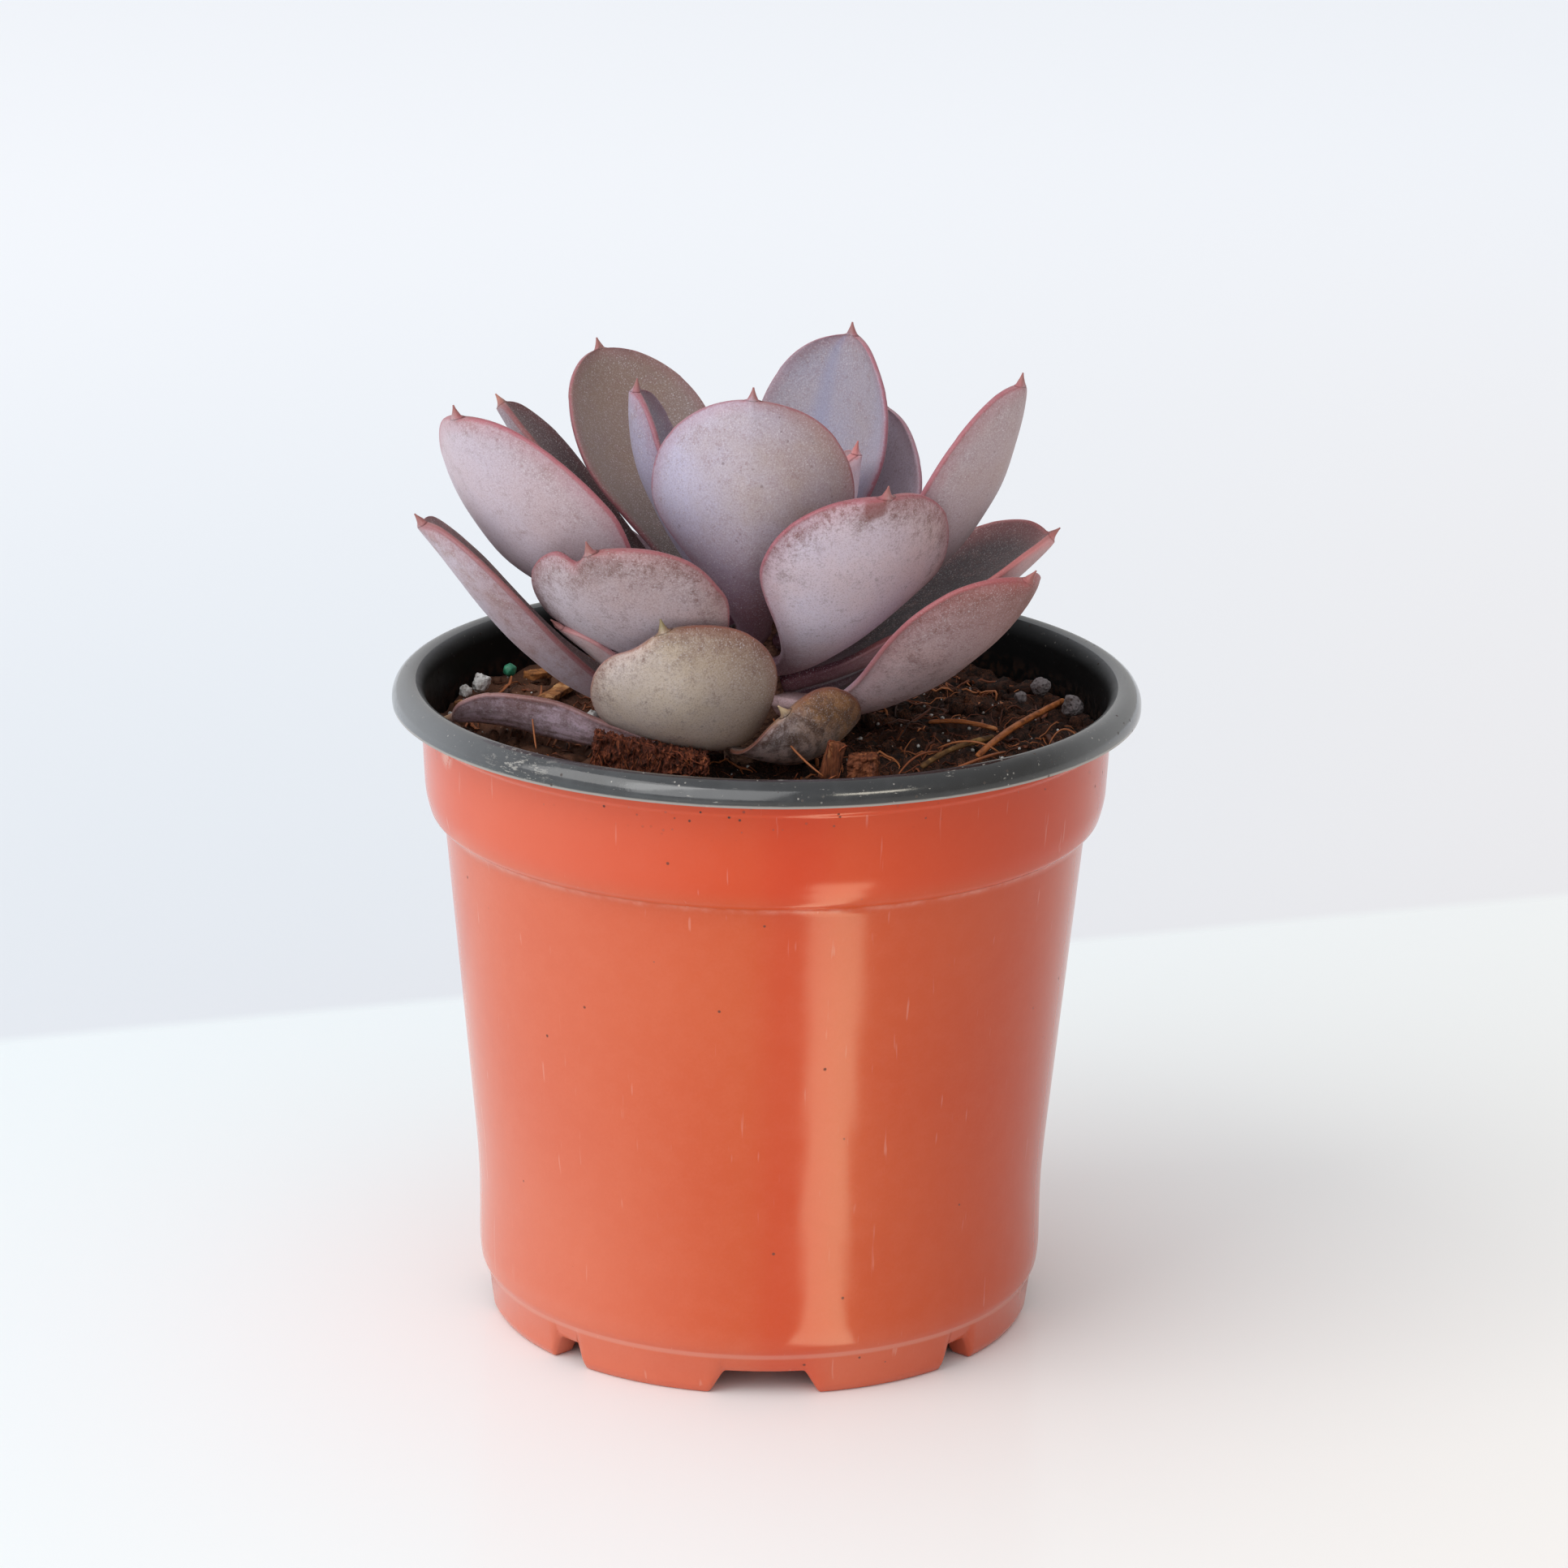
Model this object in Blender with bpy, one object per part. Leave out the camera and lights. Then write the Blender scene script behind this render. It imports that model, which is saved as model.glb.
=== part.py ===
# Potted echeveria: a rosette of fleshy, mealy leaves on a short stem, in a round
# thermoformed nursery pot with a rolled rim, with coir, bark and perlite on the soil.
# +Z is up, the pot's axis is Z, and the pot stands on z = 0. The front is -Y.

import bpy
import bmesh
import numpy as np
from math import cos, exp, pi, radians, sin
from mathutils import Matrix, Vector, noise
from mathutils.bvhtree import BVHTree

for thing in list(bpy.data.objects):
    bpy.data.objects.remove(thing, do_unlink=True)

# Blender starts its noise by the clock, so it is set here, and each build gives the same chips
noise_start = 1795754477
noise.seed_set(noise_start)

mm = 0.001
gap = 0.3 * mm

# Pot: radii and heights of the turned sheet
rim_r = 50.0 * mm
rim_top = 88.2 * mm
rim_edge = 84.9 * mm
rim_wide = 4.5 * mm
rim_tall = 2.6 * mm
sheet = 0.8 * mm
collar_top_r = 46.4 * mm
collar_low_r = 45.55 * mm
collar_low = 72.4 * mm
collar_round = 2.5 * mm
crease = 69.5 * mm
body_top_r = 43.0 * mm
body_low = 24.0 * mm
body_low_r = 38.75 * mm
base_top = 18.0 * mm
base_r = 38.35 * mm
base_round = 9.0 * mm
foot_top = 5.8 * mm
foot_r = 37.4 * mm
foot_flat_r = 36.3 * mm
foot_in_r = 33.5 * mm
floor_z = 4.6 * mm

# Pot: arches in the foot, wide and narrow by turns, and the drain holes
arch_high = 3.2 * mm
arch_turn = 1.5
arch_count = 8
wide_arch = (8.5, 11.5)
narrow_arch = (2.8, 4.6)
hole_r = 3.5 * mm
side_holes = 6
side_hole_r = 2.8 * mm
side_hole_ring = 20.0 * mm
pot_steps = 36

# Soil
soil_level = 80.5 * mm
soil_hole_low = 72.0 * mm
soil_rings = (7.5, 12.0, 17.0, 23.0, 29.0, 35.0, 40.5)
# hollows pressed in the soil by the leaves: x, y, radius, depth
soil_dips = (
    (-1.5, 0.0, 12.0, 3.0),
    (-4.0, -16.0, 7.0, 1.6),
    (-23.5, -5.5, 11.5, 2.4),
    (-38.0, -3.0, 7.0, 1.2),
    (4.0, -17.0, 7.0, 1.6),
)

# Stem
stem_x = -1.5 * mm
stem_low = 72.4 * mm
stem_foot = 84.0 * mm
stem_top = 101.0 * mm
stem_r = 4.2 * mm
stem_tip_r = 1.5 * mm

# Leaf blades
leaf_edge = 0.7 * mm
leaf_spine = 1.7 * mm
leaf_low_steps = 5
leaf_high_steps = 5
leaf_across = 6
small_leaf = 11

# What most leaves share. Lengths are in millimetres and angles in degrees.
# turn: heading about the stem, 0 at the front and 90 at the right
# foot, reach, top: height on the stem, distance and height of the tip
# start, finish: slope at the root and at the tip
# width, widest, neck: greatest width, where along the leaf it lies, width at the root
# cup, roll: hollow of the face, twist of the blade
# sweep, lean: sideways shift of the tip, how strongly the midrib turns with it
# blunt: roundness of the outer end, bend: how firmly the two slopes are held
leaf_usual = dict(start=20, finish=60, width=25, widest=0.64, neck=4.6, cup=0.3, roll=0, sweep=0,
                  lean=1.5, thick=2.6, blunt=2.0, bend=0.38)

# The leaves, from the front ones to those of the heart and the back
leaves = {
    "leaf_front_upright": dict(turn=-5, foot=95.8, reach=14, top=130.9, start=40, finish=95, width=26.5,
                               widest=0.62, cup=0.35, blunt=2.2, sweep=0.5),
    "leaf_inner_left": dict(turn=-95, foot=97, reach=16.2, top=128.3, start=60, finish=90, width=15.5,
                            widest=0.6, cup=0.45, neck=3.6),
    "leaf_back_left_tall": dict(turn=-140, foot=93.8, reach=34.7, top=128, start=35, finish=62, width=23.5,
                                widest=0.66),
    "leaf_left_narrow": dict(turn=-111, foot=90.6, reach=38, top=123.1, start=30, finish=50, width=16,
                             widest=0.68, roll=14, neck=3.2),
    "leaf_left_broad": dict(turn=-73, foot=93, reach=41.4, top=127.6, start=12, finish=74, width=30,
                            widest=0.61, roll=25, neck=3.6, thick=2.3),
    "leaf_left_low": dict(turn=-80, foot=84.8, reach=45.6, top=111.9, start=-8, finish=50, width=20,
                          widest=0.71, roll=4, neck=4, thick=2.3),
    "leaf_front_left": dict(turn=-42.5, foot=89.8, reach=32.5, top=112.8, start=14, finish=68, width=27,
                            cup=0.25, roll=19, neck=4, thick=2.3, blunt=2.6),
    "leaf_front_low": dict(turn=-18.5, foot=84.9, reach=26.5, top=102.5, start=-23, finish=90, width=24.5,
                           cup=0.25, roll=21, sweep=-4.3, blunt=2.4, bend=0.45),
    "leaf_front_right": dict(turn=43, foot=91.3, reach=26.4, top=119.6, start=14, finish=75, width=27,
                             roll=-16, sweep=-1.6, neck=4, thick=2.3, blunt=2.3),
    "leaf_right_low": dict(turn=61, foot=86, reach=41.3, top=108.5, start=-1, finish=50, width=22.5,
                           widest=0.7, roll=-12, neck=4.2),
    "leaf_right_tall": dict(turn=83.5, foot=94.1, reach=34.5, top=130.9, start=13, finish=80, width=22.4,
                            roll=-20, neck=3.8, thick=2.2),
    "leaf_right_spread": dict(turn=93, foot=88.6, reach=40.2, top=108.6, start=14, finish=38, width=26,
                              roll=2),
    "leaf_back_right_tall": dict(turn=136.5, foot=95.4, reach=17.8, top=133.7, start=45, finish=85,
                                 width=23.3, cup=0.35),
    "leaf_back_right_inner": dict(turn=131, foot=91.1, reach=21.8, top=123.7, start=32, finish=80,
                                  width=23.1, roll=12, neck=4.2),
    "leaf_heart_right": dict(turn=85, foot=98, reach=13, top=121, start=45, finish=75, width=13, cup=0.4,
                             neck=3),
    "leaf_on_soil_left": dict(turn=-57, foot=81.2, reach=36.2, top=82.4, start=-9, finish=-8, width=11,
                              widest=0.8, roll=33, sweep=-21.5, lean=1.3, neck=3.4, thick=1.8, blunt=1.8,
                              bend=0.42),
    "leaf_withered": dict(turn=25, foot=80.4, reach=21.2, top=90.4, start=-12, finish=95, width=18.4,
                          widest=0.62, roll=4, sweep=-6.7, lean=3, neck=4, thick=1.6, blunt=2.2, bend=0.44),
    "leaf_left_tucked": dict(turn=-67, foot=86.7, reach=29.2, top=98.8, start=-2, finish=38, width=12,
                             cup=0.2, neck=3.4, thick=1.5, blunt=2.6),
    "leaf_back_1": dict(turn=160, foot=88.2, reach=36, top=109, start=14, finish=45, width=20, neck=4),
    "leaf_back_2": dict(turn=-163, foot=85.6, reach=37, top=99, start=3, finish=35, width=21, neck=4),
    "leaf_back_3": dict(turn=-126, foot=88, reach=34, top=106, start=10, finish=45, width=18, neck=4),
    "leaf_back_4": dict(turn=128, foot=85.2, reach=36, top=97, start=2, finish=35, width=20),
    "leaf_back_5": dict(turn=-177, foot=90.8, reach=27, top=112, start=26, finish=62, width=14.5, neck=3),
    "leaf_heart_1": dict(turn=30, foot=99.2, reach=7.5, top=119, start=60, finish=88, width=9, neck=2.6,
                         thick=1.8, cup=0.4),
    "leaf_heart_2": dict(turn=-165, foot=98.8, reach=9.5, top=120, start=55, finish=85, width=10, neck=2.6,
                         thick=1.8, cup=0.4),
    "leaf_heart_3": dict(turn=130, foot=100, reach=5, top=117, start=65, finish=92, width=7, neck=2.2,
                         thick=1.6, cup=0.4),
    "leaf_heart_4": dict(turn=-60, foot=100, reach=5.5, top=116, start=68, finish=92, width=7.5, neck=2.2,
                         thick=1.6, cup=0.4),
}
# Leaves of another colour than the mealy lilac
leaf_looks = {
    "leaf_front_low": "leaf_olive",
    "leaf_withered": "leaf_withered",
    "leaf_on_soil_left": "leaf_dull",
}

# Chips of coir and bark, millimetres and degrees: centre x and y, length, depth and height, turn, lean,
# roughness, and the share of the height lost at the far end
chip_usual = dict(lean=0, rough=0.15, fall=0.0, look="bark")
chips = {
    "coir_chip_front": dict(at=(-15.0, -20.1), size=(14.6, 2.9, 5.4), turn=4, fall=0.6, rough=0.4,
                            look="coir"),
    "coir_chunk_right": dict(at=(12.6, 22.5), size=(5.4, 5.0, 5.0), turn=20, fall=0.1, rough=0.5,
                             look="coir"),
    "bark_chip_upright": dict(at=(8.7, -20.4), size=(2.4, 1.3, 5.2), turn=12, lean=14),
    "bark_chip_round": dict(at=(12.7, -20.2), size=(3.8, 2.4, 3.0), turn=-8, rough=0.3),
    "bark_flake_left": dict(at=(-29.4, 12.0), size=(16.0, 2.2, 0.9), turn=70),
    "bark_flake_back": dict(at=(-29.5, 25.0), size=(9.0, 2.4, 0.9), turn=40),
    "bark_flake_wall": dict(at=(-39.5, 8.0), size=(6.0, 1.8, 0.8), turn=-35),
}

# Straws and fibres: end points x and y, and thickness, millimetres. They rise a little in the middle.
straw_sides = 6
straw_rise = 0.5 * mm
straw_bow = 0.25 * mm
straws = {
    "straw_right": dict(ends=((27.9, -13.1), (40.2, 13.8)), thick=1.0, look="straw"),
    "twig_front_right": dict(ends=((20.5, -18.6), (30.0, -4.5)), thick=0.9, look="bark"),
    "fibre_right": dict(ends=((21.8, 3.2), (31.0, 0.4)), thick=0.7, look="straw"),
}

# Grains of perlite and the feed bead: centre x and y, size across, millimetres
grains = {
    "perlite_left_1": dict(at=(-39.0, 16.4), size=2.6, look="perlite"),
    "perlite_left_2": dict(at=(-40.9, 13.6), size=2.0, look="perlite"),
    "perlite_middle_1": dict(at=(-23.6, 3.6), size=2.4, look="perlite"),
    "perlite_middle_2": dict(at=(-21.0, 2.4), size=2.2, look="perlite"),
    "perlite_right_1": dict(at=(34.5, 13.0), size=1.9, look="perlite"),
    "perlite_right_2": dict(at=(37.4, 18.0), size=2.6, look="perlite"),
    "perlite_right_3": dict(at=(41.4, 8.6), size=3.0, look="perlite"),
    "perlite_back": dict(at=(15.6, 34.0), size=4.4, look="perlite"),
    "feed_bead": dict(at=(-35.4, 22.6), size=2.2, look="feed_bead"),
}

# Loose pieces are made above the soil and let down onto it, to a little more than the usual gap
made_at = 90 * mm
look_down_from = 200 * mm
seat_gap = 1.15 * gap

# Colour, roughness and metallic of each material
looks = {
    "pot_terracotta": ((0.66, 0.105, 0.042), 0.32, 0.0),
    "pot_black": ((0.018, 0.02, 0.022), 0.28, 0.0),
    "soil": ((0.022, 0.012, 0.008), 0.95, 0.0),
    "stem": ((0.33, 0.19, 0.12), 0.7, 0.0),
    "leaf_lilac": ((0.42, 0.30, 0.33), 0.62, 0.0),
    "leaf_olive": ((0.36, 0.30, 0.20), 0.6, 0.0),
    "leaf_dull": ((0.20, 0.13, 0.14), 0.65, 0.0),
    "leaf_withered": ((0.16, 0.12, 0.07), 0.7, 0.0),
    "coir": ((0.17, 0.055, 0.022), 0.9, 0.0),
    "bark": ((0.26, 0.11, 0.04), 0.85, 0.0),
    "straw": ((0.48, 0.20, 0.06), 0.6, 0.0),
    "perlite": ((0.72, 0.71, 0.68), 0.85, 0.0),
    "feed_bead": ((0.03, 0.28, 0.14), 0.4, 0.0),
}


def material(name):
    made = bpy.data.materials.get(name)
    if made:
        return made
    made = bpy.data.materials.new(name)
    made.use_nodes = True
    colour, roughness, metallic = looks[name]
    shader = made.node_tree.nodes["Principled BSDF"]
    shader.inputs["Base Color"].default_value = (*colour, 1.0)
    shader.inputs["Roughness"].default_value = roughness
    shader.inputs["Metallic"].default_value = metallic
    made.diffuse_color = (*colour, 1.0)
    return made


def add_piece(name, points, faces, look, sharp=40):
    mesh = bpy.data.meshes.new(name)
    mesh.from_pydata([tuple(p) for p in points], [], [tuple(f) for f in faces])
    mesh.shade_smooth()
    mesh.set_sharp_from_angle(angle=radians(sharp))
    mesh.materials.append(material(look))
    piece = bpy.data.objects.new(name, mesh)
    bpy.context.collection.objects.link(piece)
    return piece


def arc(centre_r, centre_z, wide, tall, first, last, steps):
    """Points of an elliptic arc in the (radius, height) plane, angles in degrees from +radius."""
    turns = [radians(first + (last - first) * k / steps) for k in range(steps + 1)]
    return [(centre_r + wide * cos(t), centre_z + tall * sin(t)) for t in turns]


def smooth(low, high, x):
    k = np.clip((x - low) / (high - low), 0.0, 1.0)
    return k * k * (3 - 2 * k)


# The pot's arches and the headings of its facets
def arch_sides():
    sides = []
    for k in range(arch_count):
        centre = arch_turn + 360.0 * k / arch_count
        top_half, floor_half = wide_arch if k % 2 == 0 else narrow_arch
        sides.append((centre, top_half, floor_half))
    return sides


def arch_lift(turn):
    """How far the foot is raised at this heading."""
    for centre, top_half, floor_half in arch_sides():
        off = abs((turn - centre + 180) % 360 - 180)
        if off < floor_half:
            return arch_high * min((floor_half - off) / (floor_half - top_half), 1.0)
    return 0.0


def pot_headings():
    corners = []
    for centre, top_half, floor_half in arch_sides():
        corners += [centre - floor_half, centre - top_half, centre + top_half, centre + floor_half]
    step = 360.0 / pot_steps
    plain = [step * k for k in range(pot_steps)]
    clear = [t for t in plain if min(abs((t - c + 180) % 360 - 180) for c in corners) > 0.3 * step]
    return sorted(t % 360 for t in corners + clear)


headings = pot_headings()


def place(radius, height, turn):
    return (radius * sin(radians(turn)), -radius * cos(radians(turn)), height)


# The sheet of the pot, outside from the rim's free edge down and inside back up
rim_mid = rim_r - rim_wide / 2
rim_low = rim_top - rim_tall
wall_in_r = rim_r - rim_wide


def inner_wall():
    """Inside of the wall from the foot up to the rim."""
    return [
        (base_r - sheet, base_top),
        (body_low_r - sheet, body_low),
        (body_top_r - sheet, crease - sheet),
        (body_top_r - 0.3 * mm, crease + 0.6 * sheet),
        (collar_low_r - 1.8 * sheet, crease + 1.8 * sheet),
        (collar_low_r - sheet, collar_low + 0.3 * sheet),
        (wall_in_r - 0.5 * mm, 78.0 * mm),
    ]


def pot_section():
    """The turned section, counter-clockwise from the foot's crease: foot, floor, inside, rim and outside."""
    foot = [
        (foot_r + 0.1 * mm, foot_top - 0.1 * mm),
        (foot_r - 0.45 * mm, 1.0 * mm),
        (foot_flat_r, 0.0),
        (foot_in_r, 0.0),
        (foot_in_r - 0.5 * mm, 0.7 * mm),
        (foot_in_r - 0.5 * mm, floor_z - 0.4 * mm),
        (foot_in_r - 1.0 * mm, floor_z),
        (hole_r, floor_z),
    ]
    inside = [
        (hole_r, floor_z + sheet),
        (foot_in_r - 0.3 * mm, floor_z + sheet),
        (foot_in_r + 0.4 * mm, floor_z + 0.2 * mm),
        (foot_in_r + 0.5 * mm, 1.2 * mm),
        (foot_in_r + 0.9 * mm, sheet),
        (foot_flat_r - 0.7 * mm, sheet),
        (foot_flat_r - 0.2 * mm, 1.3 * mm),
        (foot_r - sheet, foot_top - 0.6 * mm),
        (foot_r - 0.5 * sheet, foot_top + 0.5 * mm),
        (base_r - sheet, base_round - 1.5 * mm),
    ]
    over = arc(rim_mid, rim_low, rim_wide / 2, rim_tall, 180, -12, 8)
    under = arc(rim_mid, rim_low, rim_wide / 2 - sheet, rim_tall - sheet, -6, 180, 6)
    collar = [(collar_top_r, rim_edge - 0.6 * mm), (collar_low_r + 0.3 * mm, 78.0 * mm)]
    collar += arc(collar_low_r - collar_round, collar_low, collar_round, collar_low - crease, 0, -80, 3)
    body = [
        (body_top_r, crease - 0.9 * mm),
        (body_low_r, body_low),
        (base_r, base_top),
        (base_r, base_round),
        (base_r - 0.25 * mm, foot_top + 1.0 * mm),
    ]
    return foot, inside + inner_wall(), over, under, collar + body


def foot_share(z):
    """Share of an arch's lift that a point takes: all of it near the ground, none at the pot's floor."""
    full_below = 1.3 * mm
    none_above = floor_z - 0.6 * mm
    return min(max((none_above - z) / (none_above - full_below), 0.0), 1.0)


def build_pot():
    foot, inside, over, under, outside = pot_section()
    section = foot + inside + over + under + outside
    count = len(section)
    black_from = len(foot)
    black_to = black_from + len(inside) + len(over)
    points = []
    for turn in headings:
        lift = arch_lift(turn)
        points += [place(r, z + lift * foot_share(z), turn) for r, z in section]
    faces = []
    black = []
    for i in range(len(headings)):
        for j in range(count):
            a = i * count + j
            b = i * count + (j + 1) % count
            c = (i + 1) % len(headings) * count + (j + 1) % count
            d = (i + 1) % len(headings) * count + j
            faces.append((d, c, b, a))
            black.append(black_from <= j < black_to)
    pot = add_piece("pot", points, faces, "pot_terracotta", sharp=35)
    pot.data.materials.append(material("pot_black"))
    for face, dark in zip(pot.data.polygons, black):
        face.material_index = int(dark)
    for k in range(side_holes):
        drill_floor(pot, k)


def drill_floor(pot, k):
    """One of the drain holes round the middle one."""
    turn = 360.0 * k / side_holes + 15
    shape = bmesh.new()
    bmesh.ops.create_cone(shape, cap_ends=True, segments=16, depth=5 * sheet,
                          radius1=side_hole_r, radius2=side_hole_r)
    mesh = bpy.data.meshes.new(f"drill_{k}")
    shape.to_mesh(mesh)
    shape.free()
    drill = bpy.data.objects.new(f"drill_{k}", mesh)
    drill.location = place(side_hole_ring, floor_z + sheet / 2, turn)
    drill.hide_render = True
    drill.display_type = "WIRE"
    bpy.context.collection.objects.link(drill)
    cut = pot.modifiers.new(f"drain_{k}", "BOOLEAN")
    cut.operation = "DIFFERENCE"
    cut.solver = "EXACT"
    cut.object = drill


def stem_radius(z):
    k = min(max((z - stem_foot) / (stem_top - stem_foot), 0.0), 1.0)
    return stem_r + (stem_tip_r - stem_r) * k ** 1.5


def soil_height(x, y):
    """Height of the soil at a place in millimetres."""
    high = soil_level / mm
    high += 0.45 * sin(0.31 * x + 1.3) * cos(0.27 * y - 0.4)
    high += 0.25 * sin(0.62 * x + 0.45 * y + 2.0)
    for at_x, at_y, radius, depth in soil_dips:
        high -= depth * exp(-((x - at_x) ** 2 + (y - at_y) ** 2) / radius ** 2)
    return high * mm


def build_soil():
    """The root ball: its side follows the pot, its top is uneven, and the stem stands in a round hole."""
    side = [
        (foot_r - sheet - 0.4 * mm, floor_z + sheet + gap),
        (base_r - sheet - gap, base_round - 1.2 * mm),
    ]
    side += [(r - gap, z) for r, z in inner_wall()]
    hole = stem_r + gap
    wall_r = wall_in_r - gap - 0.35 * mm
    rings = [hole] + [r * mm for r in soil_rings] + [wall_r]
    flat = []
    for turn in headings:
        away = radians(turn)
        flat.append((hole * sin(away) + stem_x, -hole * cos(away), soil_hole_low))
        for k, r in enumerate(rings):
            x = r * sin(away) + stem_x * max(1 - k / 3, 0.0)
            y = -r * cos(away)
            flat.append((x, y, soil_height(x / mm, y / mm)))
        flat += [place(r, z, turn) for r, z in reversed(side)]
    count = 1 + len(rings) + len(side)
    middle_low = len(flat)
    middle_hole = middle_low + 1
    flat += [(0.0, 0.0, side[0][1]), (stem_x, 0.0, soil_hole_low)]
    faces = []
    total = len(headings)
    for i in range(total):
        here = i * count
        there = (i + 1) % total * count
        for j in range(count - 1):
            faces.append((here + j, here + j + 1, there + j + 1))
            faces.append((here + j, there + j + 1, there + j))
        faces.append((here + count - 1, middle_low, there + count - 1))
        faces.append((middle_hole, here, there))
    return add_piece("soil", flat, faces, "soil", sharp=60)


def build_stem():
    levels = [stem_low, 78 * mm, stem_foot, 87 * mm, 90 * mm, 93 * mm, 96 * mm, 98.5 * mm, stem_top]
    sides = 16
    points = []
    for z in levels:
        for k in range(sides):
            turn = 360.0 * k / sides
            x, y, _ = place(stem_radius(z) * cos(pi / sides), z, turn)
            points.append((x + stem_x, y, z))
    points.append((stem_x, 0.0, stem_low))
    points.append((stem_x, 0.0, stem_top + 0.5 * mm))
    faces = []
    for i in range(len(levels) - 1):
        for k in range(sides):
            n = (k + 1) % sides
            faces.append((i * sides + k, i * sides + n, (i + 1) * sides + n, (i + 1) * sides + k))
    last = (len(levels) - 1) * sides
    for k in range(sides):
        n = (k + 1) % sides
        faces.append((n, k, len(points) - 2))
        faces.append((last + k, last + n, len(points) - 1))
    add_piece("stem", points, faces, "stem")


# A leaf: rings of points along a curved midrib, with a thin margin and a small spine at the tip
def leaf_midrib(leaf):
    """The four control points of the midrib, and the heading across the leaf."""
    turn = radians(leaf["turn"])
    out = np.array([sin(turn), -cos(turn), 0.0])
    side = np.array([cos(turn), sin(turn), 0.0])
    up = np.array([0.0, 0.0, 1.0])
    axis = np.array([stem_x, 0.0, 0.0])
    start, finish = radians(leaf["start"]), radians(leaf["finish"])
    clear = gap + max(-sin(start), 0.0) * leaf["thick"] * 1.15 * mm
    root = axis + out * (stem_radius(leaf["foot"] * mm) + clear) + up * leaf["foot"] * mm
    tip = axis + out * leaf["reach"] * mm + side * leaf["sweep"] * mm + up * leaf["top"] * mm
    chord = np.linalg.norm(tip - root)
    leave = out * cos(start) + up * sin(start)
    arrive = out * cos(finish) + up * sin(finish) + side * leaf["sweep"] * mm / chord * leaf["lean"]
    arrive /= np.linalg.norm(arrive)
    reach = chord * leaf["bend"]
    return (root, root + leave * reach, tip - arrive * reach, tip), side


def bezier(ribs, q):
    a, b, c, d = ribs
    q = np.asarray(q)[:, None]
    points = a * (1 - q) ** 3 + 3 * b * q * (1 - q) ** 2 + 3 * c * q * q * (1 - q) + d * q ** 3
    along = 3 * ((b - a) * (1 - q) ** 2 + 2 * (c - b) * q * (1 - q) + (d - c) * q * q)
    return points, along / np.linalg.norm(along, axis=1)[:, None]


def leaf_stations(widest, low, high):
    """Even steps to the widest place, then equal angles round the blunt end."""
    first = [widest * k / low for k in range(low)]
    last = [widest + (1 - widest) * sin(pi / 2 * k / high) for k in range(high)]
    return np.array(first + last)


def leaf_half_width(s, leaf, end, length):
    full, neck, widest = leaf["width"] / 2 * mm, leaf["neck"] / 2 * mm, leaf["widest"]
    x = s / end
    growing = neck + (full - neck) * smooth(0.0, 1.0, x / widest)
    past = np.clip((x - widest) / (1 - widest), 0.0, 1.0)
    closing = full * (1 - past ** leaf["blunt"]) ** 0.5
    left = np.clip((1 - s) * length / (leaf_spine + 1.2 * mm), 0.0, 1.0)
    spine = (0.32 + 1.5 * left ** 1.6) * mm
    blade = np.where(x < widest, growing, closing)
    return np.where(s > end * 0.9, np.maximum(np.where(s > end, 0.0, blade), spine), blade)


def leaf_shell(leaf, low, high, across):
    ribs, side = leaf_midrib(leaf)
    fine = np.linspace(0.0, 1.0, 201)
    curve, _ = bezier(ribs, fine)
    run = np.concatenate([[0.0], np.cumsum(np.linalg.norm(np.diff(curve, axis=0), axis=1))])
    length = run[-1]
    end = 1 - leaf_spine / length
    s = np.append(leaf_stations(leaf["widest"], low, high) * end, [end - 0.001, (1 + end) / 2])
    middle, along = bezier(ribs, np.interp(s * length, run, fine))
    over = side - (along @ side)[:, None] * along
    over /= np.linalg.norm(over, axis=1)[:, None]
    up = np.cross(along, over)
    twist = radians(leaf["roll"]) * smooth(0.05, 0.6, s)[:, None]
    over, up = over * np.cos(twist) + up * np.sin(twist), up * np.cos(twist) - over * np.sin(twist)
    half = leaf_half_width(s, leaf, end, length)
    body = leaf["thick"] * mm * (1 - 0.45 * smooth(0.55, 1.0, s)) * (1.15 - 0.15 * smooth(0.0, 0.3, s))
    body = np.minimum(body, half * 1.6)
    u = np.linspace(-1.0, 1.0, across + 1)
    u = np.sign(u) * np.abs(u) ** 0.85
    points = []
    for k in range(len(s)):
        rim = min(leaf_edge, half[k] * 1.2)
        face = leaf["cup"] * half[k] * smooth(0.0, 0.35, s[k]) * u ** 2 + rim / 2
        back = face - rim - (body[k] - rim) * (1 - np.abs(u) ** 2.2)
        points += [middle[k] + over[k] * half[k] * v + up[k] * h for v, h in zip(u, face)]
        points += [middle[k] + over[k] * half[k] * v + up[k] * h for v, h in zip(u[::-1], back[::-1])]
    points.append(ribs[3])
    return points, len(s), 2 * (across + 1)


def leaf_faces(rings, around, across):
    """Triangles of the shell. The face and the back are split along the same diagonals."""
    faces = []
    tip = rings * around
    for i in range(rings - 1):
        for j in range(around):
            a, b = i * around + j, i * around + (j + 1) % around
            c, d = b + around, a + around
            if j < across or j == around - 1:
                faces += [(a, c, b), (a, d, c)]
            else:
                faces += [(a, d, b), (b, d, c)]
    last = (rings - 1) * around
    faces += [(last + j, tip, last + (j + 1) % around) for j in range(around)]
    for j in range(across):
        k = around - 1 - j
        faces += [(j, j + 1, k), (j + 1, k - 1, k)]
    return faces


def build_leaf(name, values):
    leaf = {**leaf_usual, **values}
    small = leaf["width"] < small_leaf
    low = leaf_low_steps - (2 if small else 0)
    high = leaf_high_steps - (1 if small else 0)
    across = leaf_across - (2 if small else 0)
    points, rings, around = leaf_shell(leaf, low, high, across)
    look = leaf_looks.get(name, "leaf_lilac")
    add_piece(name, points, leaf_faces(rings, around, across), look, sharp=50)


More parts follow.
